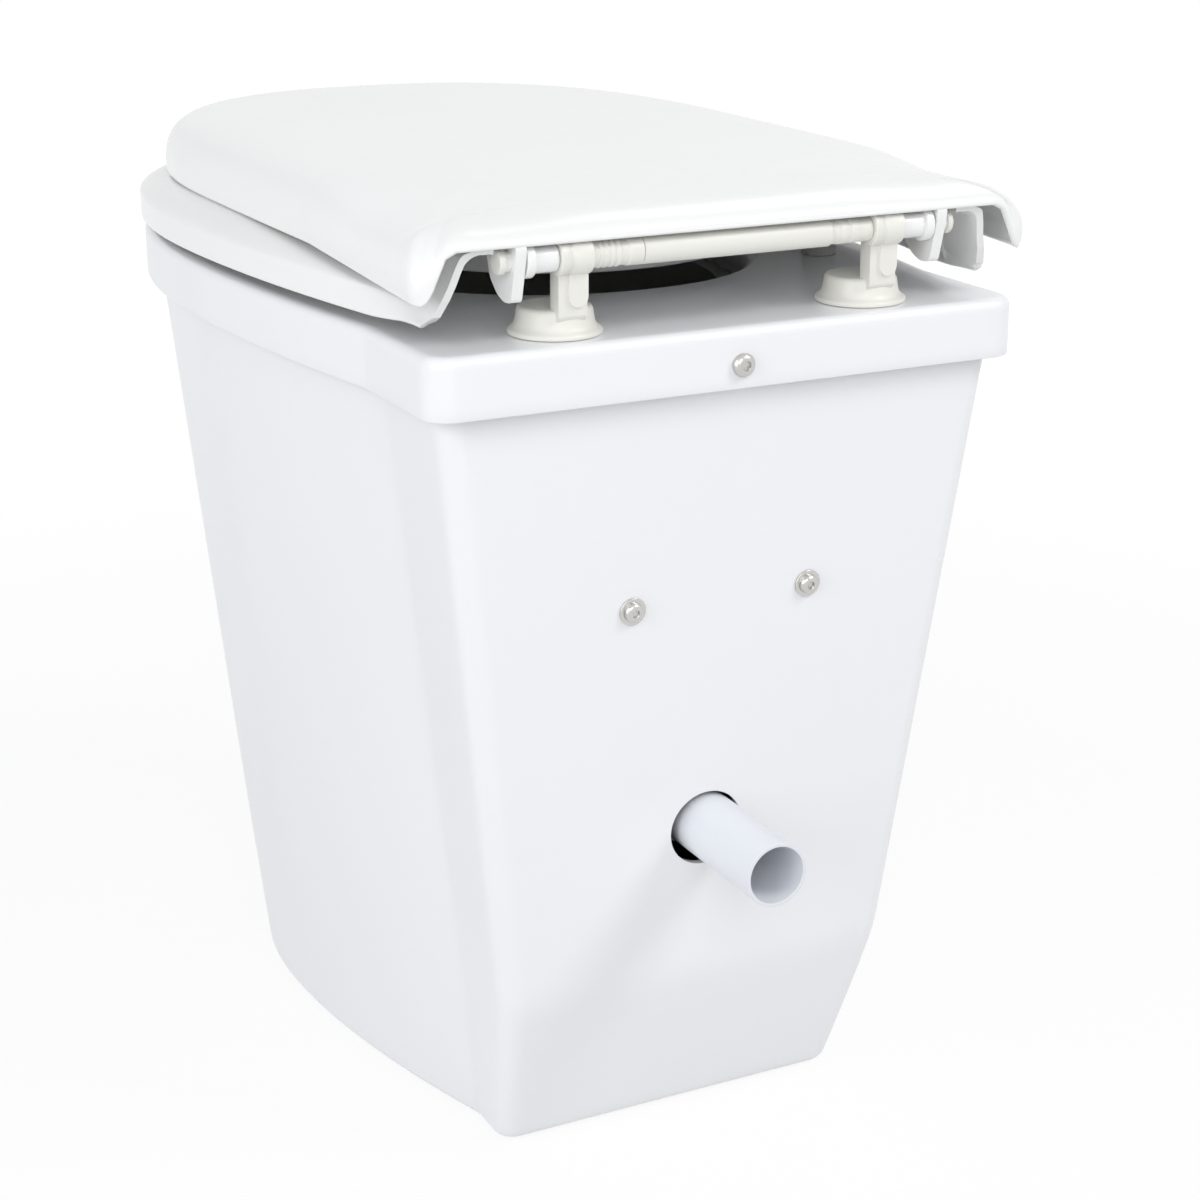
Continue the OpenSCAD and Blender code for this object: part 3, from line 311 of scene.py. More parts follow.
def piece(name, shape, body, slot, stands_for=(), sharp=35, bevel=0.0, cuts=()):
    """One piece of the toilet: mesh, cuts, eased edges, body and the CAD nodes that it stands for."""
    ob = bpy.data.objects.new(name, mesh_of(name, shape))
    bpy.context.scene.collection.objects.link(ob)
    for cut in cuts:
        tool = bpy.data.objects.new("tool", mesh_of("tool", cut))
        bpy.context.scene.collection.objects.link(tool)
        mod = ob.modifiers.new("cut", "BOOLEAN")
        mod.operation, mod.solver, mod.object = "DIFFERENCE", "EXACT", tool
        done = bpy.data.meshes.new_from_object(ob.evaluated_get(bpy.context.evaluated_depsgraph_get()))
        ob.modifiers.clear()
        ob.data = done
        bpy.data.objects.remove(tool)
    ob.data.name = name
    ob.data.shade_smooth()
    ob.data.set_sharp_from_angle(angle=np.radians(sharp))
    if bevel:
        mod = ob.modifiers.new("eased edges", "BEVEL")
        mod.width, mod.segments, mod.limit_method, mod.angle_limit = bevel * MM, 3, "ANGLE", np.radians(40)
        mod.harden_normals = True
    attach(ob, body)
    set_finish(ob, slot)
    if stands_for:
        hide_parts(*stands_for)


def tube(bore, outside, z0, z1, ease=0.5, steps=64):
    """Tube round +Z with eased ends."""
    section = [[bore / 2, z0], [outside / 2, z0], [outside / 2, z1], [bore / 2, z1]]
    return turned(eased(section, ease), steps)


def rod(d, z0, z1, ease=0.5, steps=64):
    """Round bar along +Z with eased ends."""
    section = [[1e-3, z0], [d / 2, z0], [d / 2, z1], [1e-3, z1]]
    return turned(eased(section, [0, ease, ease, 0], closed=False), steps, hollow=False)


# ---------------------------------------------------------------- tub

FOLD_POWERS = np.array([1, 2, 1.12, 1, 1, 2, 1, 1])


def tub_values(z):
    """The eight outline values at heights z: straight from the fold to the top, bent below the fold.

    Above: f + (t - f)(z - zf)/(zt - zf). Below, with u = (zf - z)/zf: f + rise u + (b - f - rise) u^p.
    """
    z = np.asarray(z, float)[..., None]
    f, t, b = (np.array(o, float) for o in (fold_outline, top_outline, base_outline))
    rise = (f - t) * fold_z / (body_top_z - fold_z)
    u = np.maximum((fold_z - z) / fold_z, 0)
    above = f + (t - f) * (z - fold_z) / (body_top_z - fold_z)
    below = f + rise * u + (b - f - rise) * u ** FOLD_POWERS
    return np.where(z >= fold_z, above, below)


def soft_tub_values(z, reach=11):
    """The same values with the fold softened: their mean over heights from z - reach to z + reach.

    The weights are 1 - lean^2, and the reach shrinks to nothing near the floor.
    """
    z = np.asarray(z, float)
    lean = np.linspace(-1, 1, 13)
    weight = (1 - lean ** 2) / (1 - lean ** 2).sum()
    near = np.clip((z - 8) / 20, 0, 1)
    spread = tub_values(z[..., None] + lean * reach * near[..., None])
    return (spread * weight[:, None]).sum(-2)


def tub_shape(wall=4.0, edge=7.0):
    """Outside from the floor up, over the top edge, then down the inside and across the floor."""
    a = np.radians(np.linspace(0, 90, 10))[:-1]
    foot_z = edge * (1 - np.cos(a))
    foot = lift(outline(inset(soft_tub_values(foot_z), edge * (1 - np.sin(a)))), foot_z[:, None])
    side_z = np.concatenate([np.linspace(edge, 70, 12), np.linspace(74, 112, 14),
                             np.linspace(124, body_top_z - 1, 14)])
    side = lift(outline(soft_tub_values(side_z)), side_z[:, None])
    lip_a = np.linspace(0, np.pi, 7)
    lip_z = body_top_z - 1 + np.sin(lip_a)
    lip = lift(outline(inset(soft_tub_values(lip_z), wall / 2 * (1 - np.cos(lip_a)))), lip_z[:, None])
    inner_z = side_z[::-1][1:-1]
    inner = lift(outline(inset(soft_tub_values(inner_z), np.full(len(inner_z), wall))), inner_z[:, None])
    b = np.radians(np.linspace(75, 0, 6))
    fillet = 8
    floor_z = wall + fillet * (1 - np.cos(b))
    floor = lift(outline(inset(soft_tub_values(floor_z), wall + fillet * (1 - np.sin(b)))), floor_z[:, None])
    return skin(np.concatenate([foot, side, lip, inner, floor]))


back_tilt = np.arctan2(top_rear_y - fold_rear_y, body_top_z - fold_z)


def back_y(z):
    """Y of the tub's back at height z, above the fold."""
    return fold_rear_y + (top_rear_y - fold_rear_y) * (z - fold_z) / (body_top_z - fold_z)


def square_to_back(shape, x, z):
    """Shape drawn round +Z, its Z turned to point straight out of the sloping back at (x, z)."""
    points = shape[0] @ AXES["y"].T
    c, s = np.cos(-back_tilt), np.sin(-back_tilt)
    turn = np.array([[1, 0, 0], [0, c, -s], [0, s, c]])
    return points @ turn.T + [x, back_y(z), z], shape[1]


pipe_hole = placed(rod(39, 0, 60, 0), "y", (1.5, 185, pipe_z - 1.1))
piece("tub", tub_shape(), "frame", "body", ["body_shell"], sharp=50,
      cuts=[pipe_hole,
            placed(rod(screw_hole, 0, 40, 0), "y", (0, 210, screw_z)),
            square_to_back(rod(bracket_hole, -12, 12, 0), bracket_x, bracket_z),
            square_to_back(rod(bracket_hole, -12, 12, 0), -bracket_x, bracket_z)])

# ---------------------------------------------------------------- cover


def cover_shape(wall=4.0, edge=5.0, roll=14.0, ledge=8.0):
    """Skirt, flat top, rim rolled down on a quarter circle to a ledge, and the underside to the skirt."""
    plan = outline(cover_outline)

    def ring(d, z):
        d, z = np.asarray(d, float), np.asarray(z, float)
        return lift(outline(inset(np.broadcast_to(cover_outline, (len(d), 8)), d)), z[:, None])

    def opening(d, z):
        d, z = np.asarray(d, float), np.asarray(z, float)
        return lift(oval(np.broadcast_to(plan, (len(d),) + plan.shape), *opening_oval, d), z[:, None])

    q = np.linspace(0, np.pi / 2, 9)
    up = ring(edge * (1 - np.cos(q)), deck_z - edge + edge * np.sin(q))
    skirt = ring([1.2, 0.35, 0, 0, 0, 0],
                 [skirt_z, skirt_z + 0.35, skirt_z + 1.2, skirt_z + 6, skirt_z + 14, deck_z - edge - 1])
    rim, hole = ring([edge], [deck_z])[0], opening([-1.0], [deck_z])[0]
    deck = np.stack([(1 - t) * rim + t * hole for t in (0.04, 0.12, 0.5, 0.9)])
    down = opening(roll * np.sin(q), deck_z - roll + roll * np.cos(q))
    wall_down = opening([roll, roll + 1, roll + 2, roll + ledge],
                        [ledge_z + 2, ledge_z + 0.5, ledge_z, ledge_z])
    under = opening([roll + ledge, roll - wall + 1, roll - wall],
                    [ledge_z - wall, ledge_z - wall, ledge_z - wall + 1])
    back_up = opening((roll - wall) * np.sin(q[::-1]), deck_z - roll + (roll - wall) * np.cos(q[::-1]))
    inside = ring([wall + 2, wall, wall, wall - 0.4], [ceiling_z, ceiling_z - 2, skirt_z + 0.6, skirt_z])
    return skin(np.concatenate([skirt, up, deck, down, wall_down, under, back_up, inside]), closed=True)


boss = placed(tube(screw_hole, 18, 231.3, 235, 0.3), "y", (0, 0, screw_z))
piece("cover", together(cover_shape(), boss), "frame", "cover", ["top_cover"], sharp=40,
      cuts=[placed(rod(screw_hole, 228, 245, 0), "y", (0, 0, screw_z)),
            placed(rod(stud_hole, 398, 430, 0), "z", (post_x, foot_y, 0)),
            placed(rod(stud_hole, 398, 430, 0), "z", (-post_x, foot_y, 0))])

# ---------------------------------------------------------------- lid

lid_top_z = 485.0
lid_side_z = 453.5
lid_ear_z = 447
lid_bar_z = 469
lid_rear_y = 235.0
lid_lug_x = 105
lid_outline = [155.8, 157, lid_rear_y, 96, -38, -266, 8, 2.43]
LID_CENTRE = np.array([0, 9.0])


def lid_low(p):
    """Height of the lid's lower edge: level along the sides, falling to the ears, high below the rear bar."""
    ear = lid_side_z + (lid_ear_z - lid_side_z) * np.clip((p[..., 1] - 104) / 131, 0, 1)
    bar = 1 - smooth((np.abs(p[..., 0]) - 140) / 14)
    rear = p[..., 1] > lid_rear_y - 8.01
    return ear + (lid_bar_z - ear) * bar * rear


def lid_crown(q, s):
    """Highest level at plan points q, which lie at shares s of the way from the middle to the rim.

    Flat in front. The crease lies at y = 185 + 22 |x/134|^2.2, and d behind it the level has fallen by
    4.2 (d/45)^1.25. Along it runs a groove 1 deep, outside the middle. Two dips are joined as the
    root of the sum of their squares: a saddle of 5.5 exp(-((y - 172)/34)^2) near the rim, and the
    droop of 4.2 at the rear corners.
    """
    x, y = np.abs(q[..., 0]), q[..., 1]
    d = y - (185 + 22 * (x / 134) ** 2.2)
    slope = 4.2 * (np.clip(d, 0, None) / 45) ** 1.25
    outside = smooth((x - 45) / 80)
    groove = outside * np.exp(-np.clip(d, 0, None) / 3.5) * np.exp(-np.clip(-d, 0, None) / 16)
    saddle = 5.5 * np.exp(-((y - 172) / 34) ** 2) * smooth((s - 0.5) / 0.45)
    corner = 4.2 * outside * smooth((y - 155) / 45)
    return lid_top_z - slope - groove - np.hypot(saddle, corner)


def lid_layer(s, step, drop):
    """Outline shrunk to shares s about the centre and stepped in.

    z = low + (crown - drop - low) rise with rise = (1 - s^12.8)^(1/2.97). Behind y = 40 the sides bulge
    outwards by up to 2.6, as 4 rise (1 - rise).
    """
    s = np.asarray(s, float)[:, None]
    p = outline(lid_outline)[None]
    way = LID_CENTRE - p
    q = p + way * (1 - s[..., None]) + unit(way) * np.asarray(step)[..., None]
    low = lid_low(p)
    rise = np.where(s > 0.9999, 0, (1 - np.minimum(s, 1) ** 12.8) ** (1 / 2.97))
    bulge = 2.6 * smooth((p[..., 1] - 40) / 120) * 4 * rise * (1 - rise) * (np.abs(p[..., 0]) > 150)
    layer = lift(q, low + (lid_crown(q, s) - drop - low) * rise)
    layer[..., 0] += np.sign(p[..., 0]) * bulge
    return layer, low, p


def lid_shape(w=shell_wall):
    """Outside from the middle to the rim, a half round rim, and the inside a wall's thickness below."""
    u = np.linspace(0, 0.58, 34)[1:]
    s = np.concatenate([1 - u ** 2.6, np.linspace(0.74, 0.05, 14)])
    outer, low, p = lid_layer(s, 0.0, 0.0)
    inner, _, _ = lid_layer(s, w, w)
    a = np.linspace(0, np.pi, 7)[:, None]
    way = unit(LID_CENTRE - p)
    rim = lift(p + way * (w / 2 * (1 - np.cos(a)))[..., None], low + w / 2 * (1 - np.sin(a)))
    floor = low + w / 2
    outer[..., 2] = np.maximum(outer[..., 2], floor + 0.1)
    return skin(np.concatenate([outer[::-1], rim, inner]))


lid_lug = [[-23, 17.5], [-23, 1], [-19, -10], [-12, -16], [-5, -18.6], [2.5, -18], [8.2, 4], [8.2, 8],
           [3, 11.5], [-4, 13.5]]


def lugs(shape, x):
    """A shape drawn in the plane across the rod, on both sides of the toilet."""
    one = placed(shape, "x", (x, rod_y, rod_z))
    return together(one, placed(one, flip=True))


def bore_cuts(x0, x1):
    """Cutters for the rod's bore from x0 to x1, on both sides of the toilet."""
    return [placed(rod(rod_bore, x0, x1, 0), "x", at_rod), placed(rod(rod_bore, -x1, -x0, 0), "x", at_rod)]


lid_bosses = [placed(rod(12, 463.3, 481, 0.5), "z", (side * x, y, 0))
              for x, y in ((135, -20), (85, -187)) for side in (1, -1)]
piece("lid_shell", lid_shape(), "lid", "lid_and_seat", ["lid"], sharp=60)
piece("lid_lugs", lugs(plate(eased(lid_lug, 2.5, 5), 5.2), lid_lug_x), "lid", "lid_and_seat", ["lid"],
      sharp=40, bevel=0.6, cuts=bore_cuts(104, 112))
piece("lid_bosses", together(*lid_bosses), "lid", "lid_and_seat", ["lid"])

# ---------------------------------------------------------------- seat

seat_edge_z = deck_z + 6
seat_side_z = seat_edge_z + 13
seat_crown_z = seat_edge_z + 25
seat_hole_z = seat_crown_z - 7
seat_hole_low = seat_edge_z + 2
seat_outline = [146, 174.8, rod_y + 24, rod_y - 35, -46, rod_y - 504, 8, 2.2]
seat_lug_x = 100
ear_step, ear_rise = 26, 7.1


def seat_top(k):
    """Height of the seat's top at share k of the way to the hole.

    It rises as (1 - (1 - k/c)^1.5)^(1/1.5) to the crown at c = 0.6, then falls on a parabola.
    """
    c = 0.6
    up = seat_side_z + (seat_crown_z - seat_side_z) * (1 - np.clip((c - k) / c, 0, 1) ** 1.5) ** (1 / 1.5)
    down = seat_crown_z - (seat_crown_z - seat_hole_z) * np.clip((k - c) / (1 - c), 0, None) ** 2
    return np.where(k < c, up, down)


def seat_layer(table):
    """Rings of the seat, one from each row of the table.

    A row holds the share of the way to the hole, a step further, the height, and for the ears the
    step in from the outline, the height above the rod, and the share of the ear's own shape.
    """
    k, step, z, in_ear, ear_z, share = (np.asarray(table, float)[:, i][:, None] for i in range(6))
    p = outline(seat_outline)[None]
    way = oval(p, *seat_hole_oval, 0.0) - p
    flat = p + way * k[..., None] + unit(way) * step[..., None]
    inner = np.stack([np.sign(p[..., 0]) * np.minimum(np.abs(p[..., 0]), 115),
                      np.minimum(p[..., 1], rod_y - 4)], -1)
    e = smooth((p[..., 1] - (rod_y - 62)) / 45) * share
    ear = p + unit(inner - p) * in_ear[..., None]
    plan = flat + (ear - flat) * e[..., None]
    return lift(plan, z + (rod_z + ear_z - z) * e)


def seat_shape(w=shell_wall):
    """Outside up from the edge and over the crown to the hole, down the hole, and back along the inside.

    Rows of the outer table: share of the way to the hole, place up the side wall (1 at its top), and
    the ear's step and height. Rows of the inner one: share, step, and the ear's step and height.
    """
    outer = curve_through([[0, 0, 0, -27.0], [0, 1, 2.6, -23.2], [0.04, 2, 5.2, -17], [0.12, 3, 8.2, -9],
                           [0.25, 4, 11, -0.5], [0.42, 5, 14, 4.6], [0.6, 6, 20, 6.3],
                           [0.78, 7, ear_step, ear_rise]], 6)
    k = outer[:, 0].clip(0)
    wall_z = seat_edge_z + w / 2 + (seat_side_z - seat_edge_z - w / 2) * outer[:, 1].clip(0, 1)
    z = np.where(outer[:, 1] < 1, wall_z, seat_top(k))
    outside = np.stack([k, 0 * k, z, outer[:, 2].clip(0), outer[:, 3], 0 * k + 1], -1)
    k = np.linspace(0.79, 0.95, 9)
    fade = np.clip((0.92 - k) / 0.14, 0, 1)
    crown = np.stack([k, 0 * k, seat_top(k), ear_step + 0 * k, ear_rise + 0 * k, fade], -1)
    a = np.linspace(0, np.pi / 2, 7)[1:]
    radius = 3
    low = float(seat_top(np.array(0.95))) - radius
    round_off = np.stack([0 * a + 1, -radius * (1 - np.sin(a)), low + radius * np.cos(a),
                          0 * a, 0 * a, 0 * a], -1)
    b = np.linspace(0, np.pi, 7)
    hole_rim = np.stack([0 * b + 1, -w / 2 * (1 - np.cos(b)), seat_hole_low + w / 2 * (1 - np.sin(b)),
                         0 * b, 0 * b, 0 * b], -1)
    hole_back = np.array([[1, -w, seat_hole_z - w - 1.5, 0, 0, 0], [1, -w - 1.5, seat_hole_z - w, 0, 0, 0]])
    under = crown[::-1] - [0, 0, w, 0, w, 0]
    inner = curve_through([[0.78, 0, ear_step, ear_rise - w], [0.6, 0, 20.6, 6.2 - w],
                           [0.42, 0, 16.6, 4.0 - w], [0.25, 0, 14.4, -2], [0.12, 0, 11.8, -9.6],
                           [0.04, 1.0, 8.8, -17.8], [0, 2.5, 6.4, -25.2]], 6)
    k = inner[:, 0].clip(0)
    z = np.minimum(seat_top(k) - w, seat_crown_z)
    inside = np.stack([k, inner[:, 1].clip(0), z, inner[:, 2], inner[:, 3], 0 * k + 1], -1)
    inside[-1, 2] = seat_side_z - 1
    c = np.linspace(0, np.pi, 7)[:-1]
    rim = np.stack([0 * c, w / 2 * (1 + np.cos(c)), seat_edge_z + w / 2 * (1 - np.sin(c)),
                    3.4 * (1 + np.cos(c)) / 2, -27.0 - 1.7 * np.sin(c) + 0.1 * np.cos(c), 0 * c + 1], -1)
    rows = [outside, crown, round_off, hole_rim, hole_back, under, inside, rim]
    return skin(seat_layer(np.concatenate(rows)), closed=True)


seat_arm = [[2, -7.6], [-14, -17], [-60, -17], [-60, -3], [-24.5, 3.5], [-7, 3.5]]
# Each cutter's section is convex, because the exact cut fails with a dented one.
half_cut = 180
ear_cuts = [
    placed(plate(section, 2 * half_cut), "x", (-half_cut, rod_y, rod_z))
    for section in (
        [[-11, -40], [5, 10], [60, 10], [60, -40]],
        [[-9.6, -40], [-9.6, -27], [-3.2, -15.5], [10, -15.5], [10, -40]],
        [[-17, -40], [-17, -29.6], [-7.4, -23], [10, -23], [10, -40]])]
notch_x, notch_y0, notch_y1 = 118.5, rod_y - 24, rod_y + 60
notch_plan = [[-notch_x, notch_y0], [notch_x, notch_y0], [notch_x, notch_y1], [-notch_x, notch_y1]]
notch = placed(plate(notch_plan, 70), "z", (0, 0, deck_z))
piece("seat_shell", seat_shape(), "seat", "lid_and_seat", ["seat"], sharp=50, cuts=[notch] + ear_cuts)
arms = together(
    lugs(plate(seat_arm, 4.0), seat_lug_x),
    lugs(tube(rod_bore, 16, 0, 4.2, 0.6), seat_lug_x),
    lugs(tube(rod_bore, 12.4, -11.7, 0.4, 0.5), seat_lug_x))
piece("seat_arms", arms, "seat", "lid_and_seat", ["seat"], sharp=40, cuts=bore_cuts(99.9, 104.1))
seat_bosses = [placed(rod(16, 433, 452.5, 0.5), "z", (side * x, y, 0))
               for x, y in ((125, 100), (95, -203)) for side in (1, -1)]
piece("seat_bosses", together(*seat_bosses), "seat", "lid_and_seat", ["seat"])

# ---------------------------------------------------------------- hinge


def post_shape():
    """Neck with a raised panel on its back, grooved barrel round the rod and round base plate, for x > 0."""
    groove = [[rod_bore / 2, -8], [7.7, -8], [8.3, -7.4], [8.3, 1.5], [7.9, 2.0], [7.9, 3.1], [8.3, 3.6],
              [8.3, 7.4], [7.7, 8], [rod_bore / 2, 8]]
    barrel = placed(turned(groove, 72), "x", (post_x, rod_y, rod_z))
    section = eased([[-7, -7.5], [7, -7.5], [7, 0], [-7, 0]], [1.2, 1.2, 0, 0], 4)
    z = np.concatenate([[5.0], 7 + 4 * np.linspace(0, 1, 9), [rod_z - deck_z - 2]])
    rear = -3 + 4.7 * smooth((z - 5) / 6)
    rings = lift(np.broadcast_to(section, (len(z),) + section.shape), z[:, None])
    rings[..., 1] = np.where(rings[..., 1] > -1, rear[:, None], rings[..., 1])
    points, faces = skin(rings)
    neck = points + [post_x, rod_y, deck_z], faces
    low, high = 14.5, rod_z - deck_z - 3
    middle, r = -2.3, 4.6
    x0, x1 = -6.9, 2.3
    a = np.linspace(np.pi, 2 * np.pi, 12)
    round_end = np.stack([middle + r * np.cos(a), low + r + r * np.sin(a)], -1)
    face = np.concatenate([round_end, [[x1, high], [x0, high]]])
    face[:, 0] = np.clip(face[:, 0], x0, x1)
    points, faces = placed(plate(face, 1.7), "y")
    panel = points * [1, 1, -1] + [post_x, rod_y + 1.3, deck_z], faces
    base = placed(rod(28, 425.3, 430.3, 0.4), "z", (post_x, foot_y, 0))
    return together(barrel, neck, panel, base)


post = post_shape()
piece("post_left", post, "frame", "hinge", ["hinge_post_left"], sharp=40)
piece("post_right", (post[0] - [2 * post_x, 0, 0], post[1]), "frame", "hinge", ["hinge_post_right"], sharp=40)


def foot_shape(x):
    """Bell turned round a vertical axis: a thin rounded flange, a flare and a flat top, hollow below."""
    flare = curve_through([[21.4, 0.1], [21.5, 1.0], [21.1, 1.9], [20.3, 2.5], [19.4, 3.1], [18.6, 4.1],
                           [18.0, 5.7], [17.6, 7.7], [17.3, 9.7], [17.0, 11.0], [16.4, 11.9], [15.6, 12.35],
                           [14.5, 12.5]], 4)
    hollow = [[0.001, 12.5], [0.001, 8.5], [14.3, 8.5], [14.3, 0], [21.2, 0]]
    return placed(turned(np.concatenate([flare, hollow]), 96), "z", (x, foot_y, deck_z + 0.3))


piece("foot_left", foot_shape(post_x), "frame", "hinge", ["hinge_foot_left"], sharp=40)
piece("foot_right", foot_shape(-post_x), "frame", "hinge", ["hinge_foot_right"], sharp=40)

piece("hinge_bar", placed(rod(9, -115.2, 115.2, 0.5), "x", at_rod), "frame", "rod", ["hinge_rod"])
cap_section = [[4.55, 113.2], [5.5, 113.2], [5.5, 116.2], [1e-3, 116.2], [1e-3, 115.2], [4.55, 115.2]]
cap = placed(turned(eased(cap_section, [0.1, 0.3, 0.9, 0, 0, 0.1], 5)), "x", at_rod)
piece("bar_caps", together(cap, placed(cap, flip=True)), "frame", "hinge", ["rod_end_caps"])
sleeve = placed(tube(rod_bore, 13, -50, 46.7, 0.6, 96), "x", at_rod)
piece("sleeve", sleeve, "sleeve", "hinge", ["rod_sleeve"])


def ribbed_shape(x0=47.0, x1=71.7):
    """Tube with five shallow rings towards the post, each ring a raised cosine, and a plain end."""
    pitch = 3.0
    x = np.linspace(x0, x1, 160)
    rings = 0.25 * (1 + np.cos(2 * np.pi * (x1 - 0.9 - x) / pitch)) * ((x1 - x) < 5 * pitch - 0.6)
    plain = 0.5 * smooth((x0 + 7.4 - x) / 0.8)
    outer = np.stack([6.0 + rings + plain, x], -1)
    outer[0, 0] -= 0.4
    outer[-1, 0] -= 0.3
    return turned(np.concatenate([[[rod_bore / 2, x0]], outer, [[rod_bore / 2, x1]]]), 96)


piece("ribbed_tube", placed(ribbed_shape(), "x", at_rod), "frame", "hinge", ["ribbed_bush"], sharp=60)
steps = eased([[rod_bore / 2, -71.7], [5.7, -71.7], [5.7, -63.8], [6.0, -63.8], [6.0, -59.8], [5.7, -59.8],
               [5.7, -58.3], [6.0, -58.3], [6.0, -54.3], [5.7, -54.3], [5.7, -50.3], [rod_bore / 2, -50.3]],
              0.12, 3)
piece("stepped_tube", placed(turned(steps, 96), "x", at_rod), "frame", "hinge", ["stepped_bush"], sharp=40)

# ---------------------------------------------------------------- drain pipe and screws

pipe_section = eased([[14.2, 190], [16, 190], [16, 279.5], [14.2, 279.5]], [0.3, 0.3, 0.5, 0.3], 4)
piece("drain_tube", placed(turned(pipe_section, 128), "y", (0, 0, pipe_z)), "frame", "pipe", ["drain_pipe"])


def socket_head(d, h, drive):
    """Domed head on +Z with a six-sided socket, drive wide over its flats.

    At angle t the socket's radius is (drive / 2) / cos(u), u being the angle from the nearest flat.
    """
    a = np.linspace(0, np.pi / 2, 9)
    dome = np.stack([d / 2 * (0.42 + 0.58 * np.cos(a)), h * (0.25 + 0.75 * np.sin(a))], -1)
    turn = np.linspace(0, 2 * np.pi, 72, endpoint=False)
    even = np.ones_like(turn)
    six = (drive / 2) / np.cos((turn + np.pi / 6) % (np.pi / 3) - np.pi / 6)
    rows = [(0.96 * d / 2 * even, 0.0)] + [(r * even, z) for r, z in dome]
    rows += [(six * 1.14, h), (six, h - 0.25), (six, h - 1.9), (six * 0.3, h - 2.2)]
    rings = np.stack([np.stack([r * np.cos(turn), r * np.sin(turn), 0 * turn + z], -1) for r, z in rows])
    return skin(rings)


cover_screw = together(
    placed(socket_head(11.2, 4.0, 4.6), "y", (0, cover_rear_y, screw_z)),
    placed(rod(6, cover_rear_y - 22, cover_rear_y + 0.4), "y", (0, 0, screw_z)))
piece("cover_bolt", cover_screw, "frame", "steel", ["cover_screw"], sharp=30)
bolts = [square_to_back((s[0] + [0, 0, z], s[1]), x, bracket_z)
         for x in (bracket_x, -bracket_x)
         for s, z in ((socket_head(9.6, 3.0, 3.8), 1.2), (rod(5, -16, 0.8), 0.8))]
piece("back_bolts", together(*bolts), "frame", "steel", ["bracket_screws"], sharp=30)
washers = [square_to_back(tube(5.16, 13.5, 0, 1.2, 0.35), x, bracket_z) for x in (bracket_x, -bracket_x)]
piece("back_washers", together(*washers), "frame", "steel", ["bracket_washers"], sharp=30)

# ---------------------------------------------------------------- bowl insert and hose


chute_r = 84
chute_y = 32
spout_y = -115


def bowl_depth(t):
    """Depth of the front bowl at share t of the way in: 40 sin(pi t^0.8)^0.7 + 24 t."""
    return 40 * np.sin(np.pi * t ** 0.8) ** 0.7 + 24 * t


def insert_shape(wall=3.0):
    """Funnel between the flange oval and the round chute, with a bowl at the front.

    At share t of the way in it lies 42 t^0.7 below the ledge at the back and bowl_depth(t) at the
    front, with an easy change between the two on each side.
    """
    a = np.linspace(0, 2 * np.pi, 160, endpoint=False)
    deg = np.degrees(np.where(a > np.pi, 2 * np.pi - a, a))
    front = smooth((deg - 70) / 60)
    ray = np.stack([np.sin(a), opening_oval[2] + np.cos(a)], -1)

    def flange(d, z):
        return lift(oval(ray, *opening_oval, float(d)), z)

    def chute(r):
        return np.stack([r * np.sin(a), chute_y + r * np.cos(a)], -1)

    def funnel(t, drop):
        z = ledge_z - (42 * t ** 0.7 * (1 - front) + bowl_depth(t) * front) - drop
        rim = oval(ray, *opening_oval, 25.0)
        return lift(rim + (chute(chute_r) - rim) * t, z)

    t = np.concatenate([[0.004, 0.015, 0.03], np.linspace(0.05, 0.999, 40)])
    rows = [flange(15, ledge_z + 0.2), flange(15, ledge_z + wall - 0.8), flange(15.8, ledge_z + wall),
            flange(23.5, ledge_z + wall), flange(24.6, ledge_z + wall - 0.6)]
    rows += [funnel(v, 0.0) for v in t]
    rows += [lift(chute(r), z)
             for r, z in ((chute_r, 352), (84.4, 350.3), (86.6, 350.3), (chute_r + wall, 352))]
    rows += [funnel(v, wall) for v in t[::-1][1:-3]] + [flange(23, ledge_z + 0.2)]
    return skin(np.stack(rows), closed=True)


low_z = ledge_z - bowl_depth(0.5)
spout_end_z = low_z - 28.5
spout = placed(tube(12, 16, spout_end_z, low_z + 0.5, 0.4), "z", (0, spout_y, 0))
piece("urine_insert", together(insert_shape(), spout), "frame", "insert", ["bowl_insert"], sharp=50,
      cuts=[placed(rod(11.98, low_z - 30, low_z + 6, 0), "z", (0, spout_y, 0))])


def hose_shape():
    """Tube along a smooth curve: rings across the curve, each one's side vector carried on from the last."""
    path = [[0, spout_y, spout_end_z + 20], [0, spout_y, spout_end_z], [4, -118, 309], [20, -127, 299],
            [60, -128, 294], [100, -106, 290], [127, -58, 287], [132, -4, 284], [130, 50, 281],
            [112, 100, 279], [76, 136, 276], [36, 151, 273], [10, 152, 265], [0, 150, 242.6],
            [0, 150, 218.6]]
    outer_r, inner_r = 10.2, 8.5
    line = curve_through(path, 8)
    ahead = unit(np.gradient(line, axis=0))
    side = np.empty_like(ahead)
    side[0] = [1, 0, 0]
    for i in range(1, len(line)):
        side[i] = unit(side[i - 1] - ahead[i] * (side[i - 1] @ ahead[i]))
    up = np.cross(side, ahead)
    a = np.linspace(0, 2 * np.pi, 32, endpoint=False)[None, :, None]
    ring = side[:, None] * np.cos(a) + up[:, None] * np.sin(a)
    outer = line[:, None] + outer_r * ring
    inner = line[:, None] + inner_r * ring
    return skin(np.concatenate([outer, inner[::-1]]), closed=True)


piece("hose", hose_shape(), "frame", "hose", ["urine_hose"], sharp=60)

# ---------------------------------------------------------------- materials


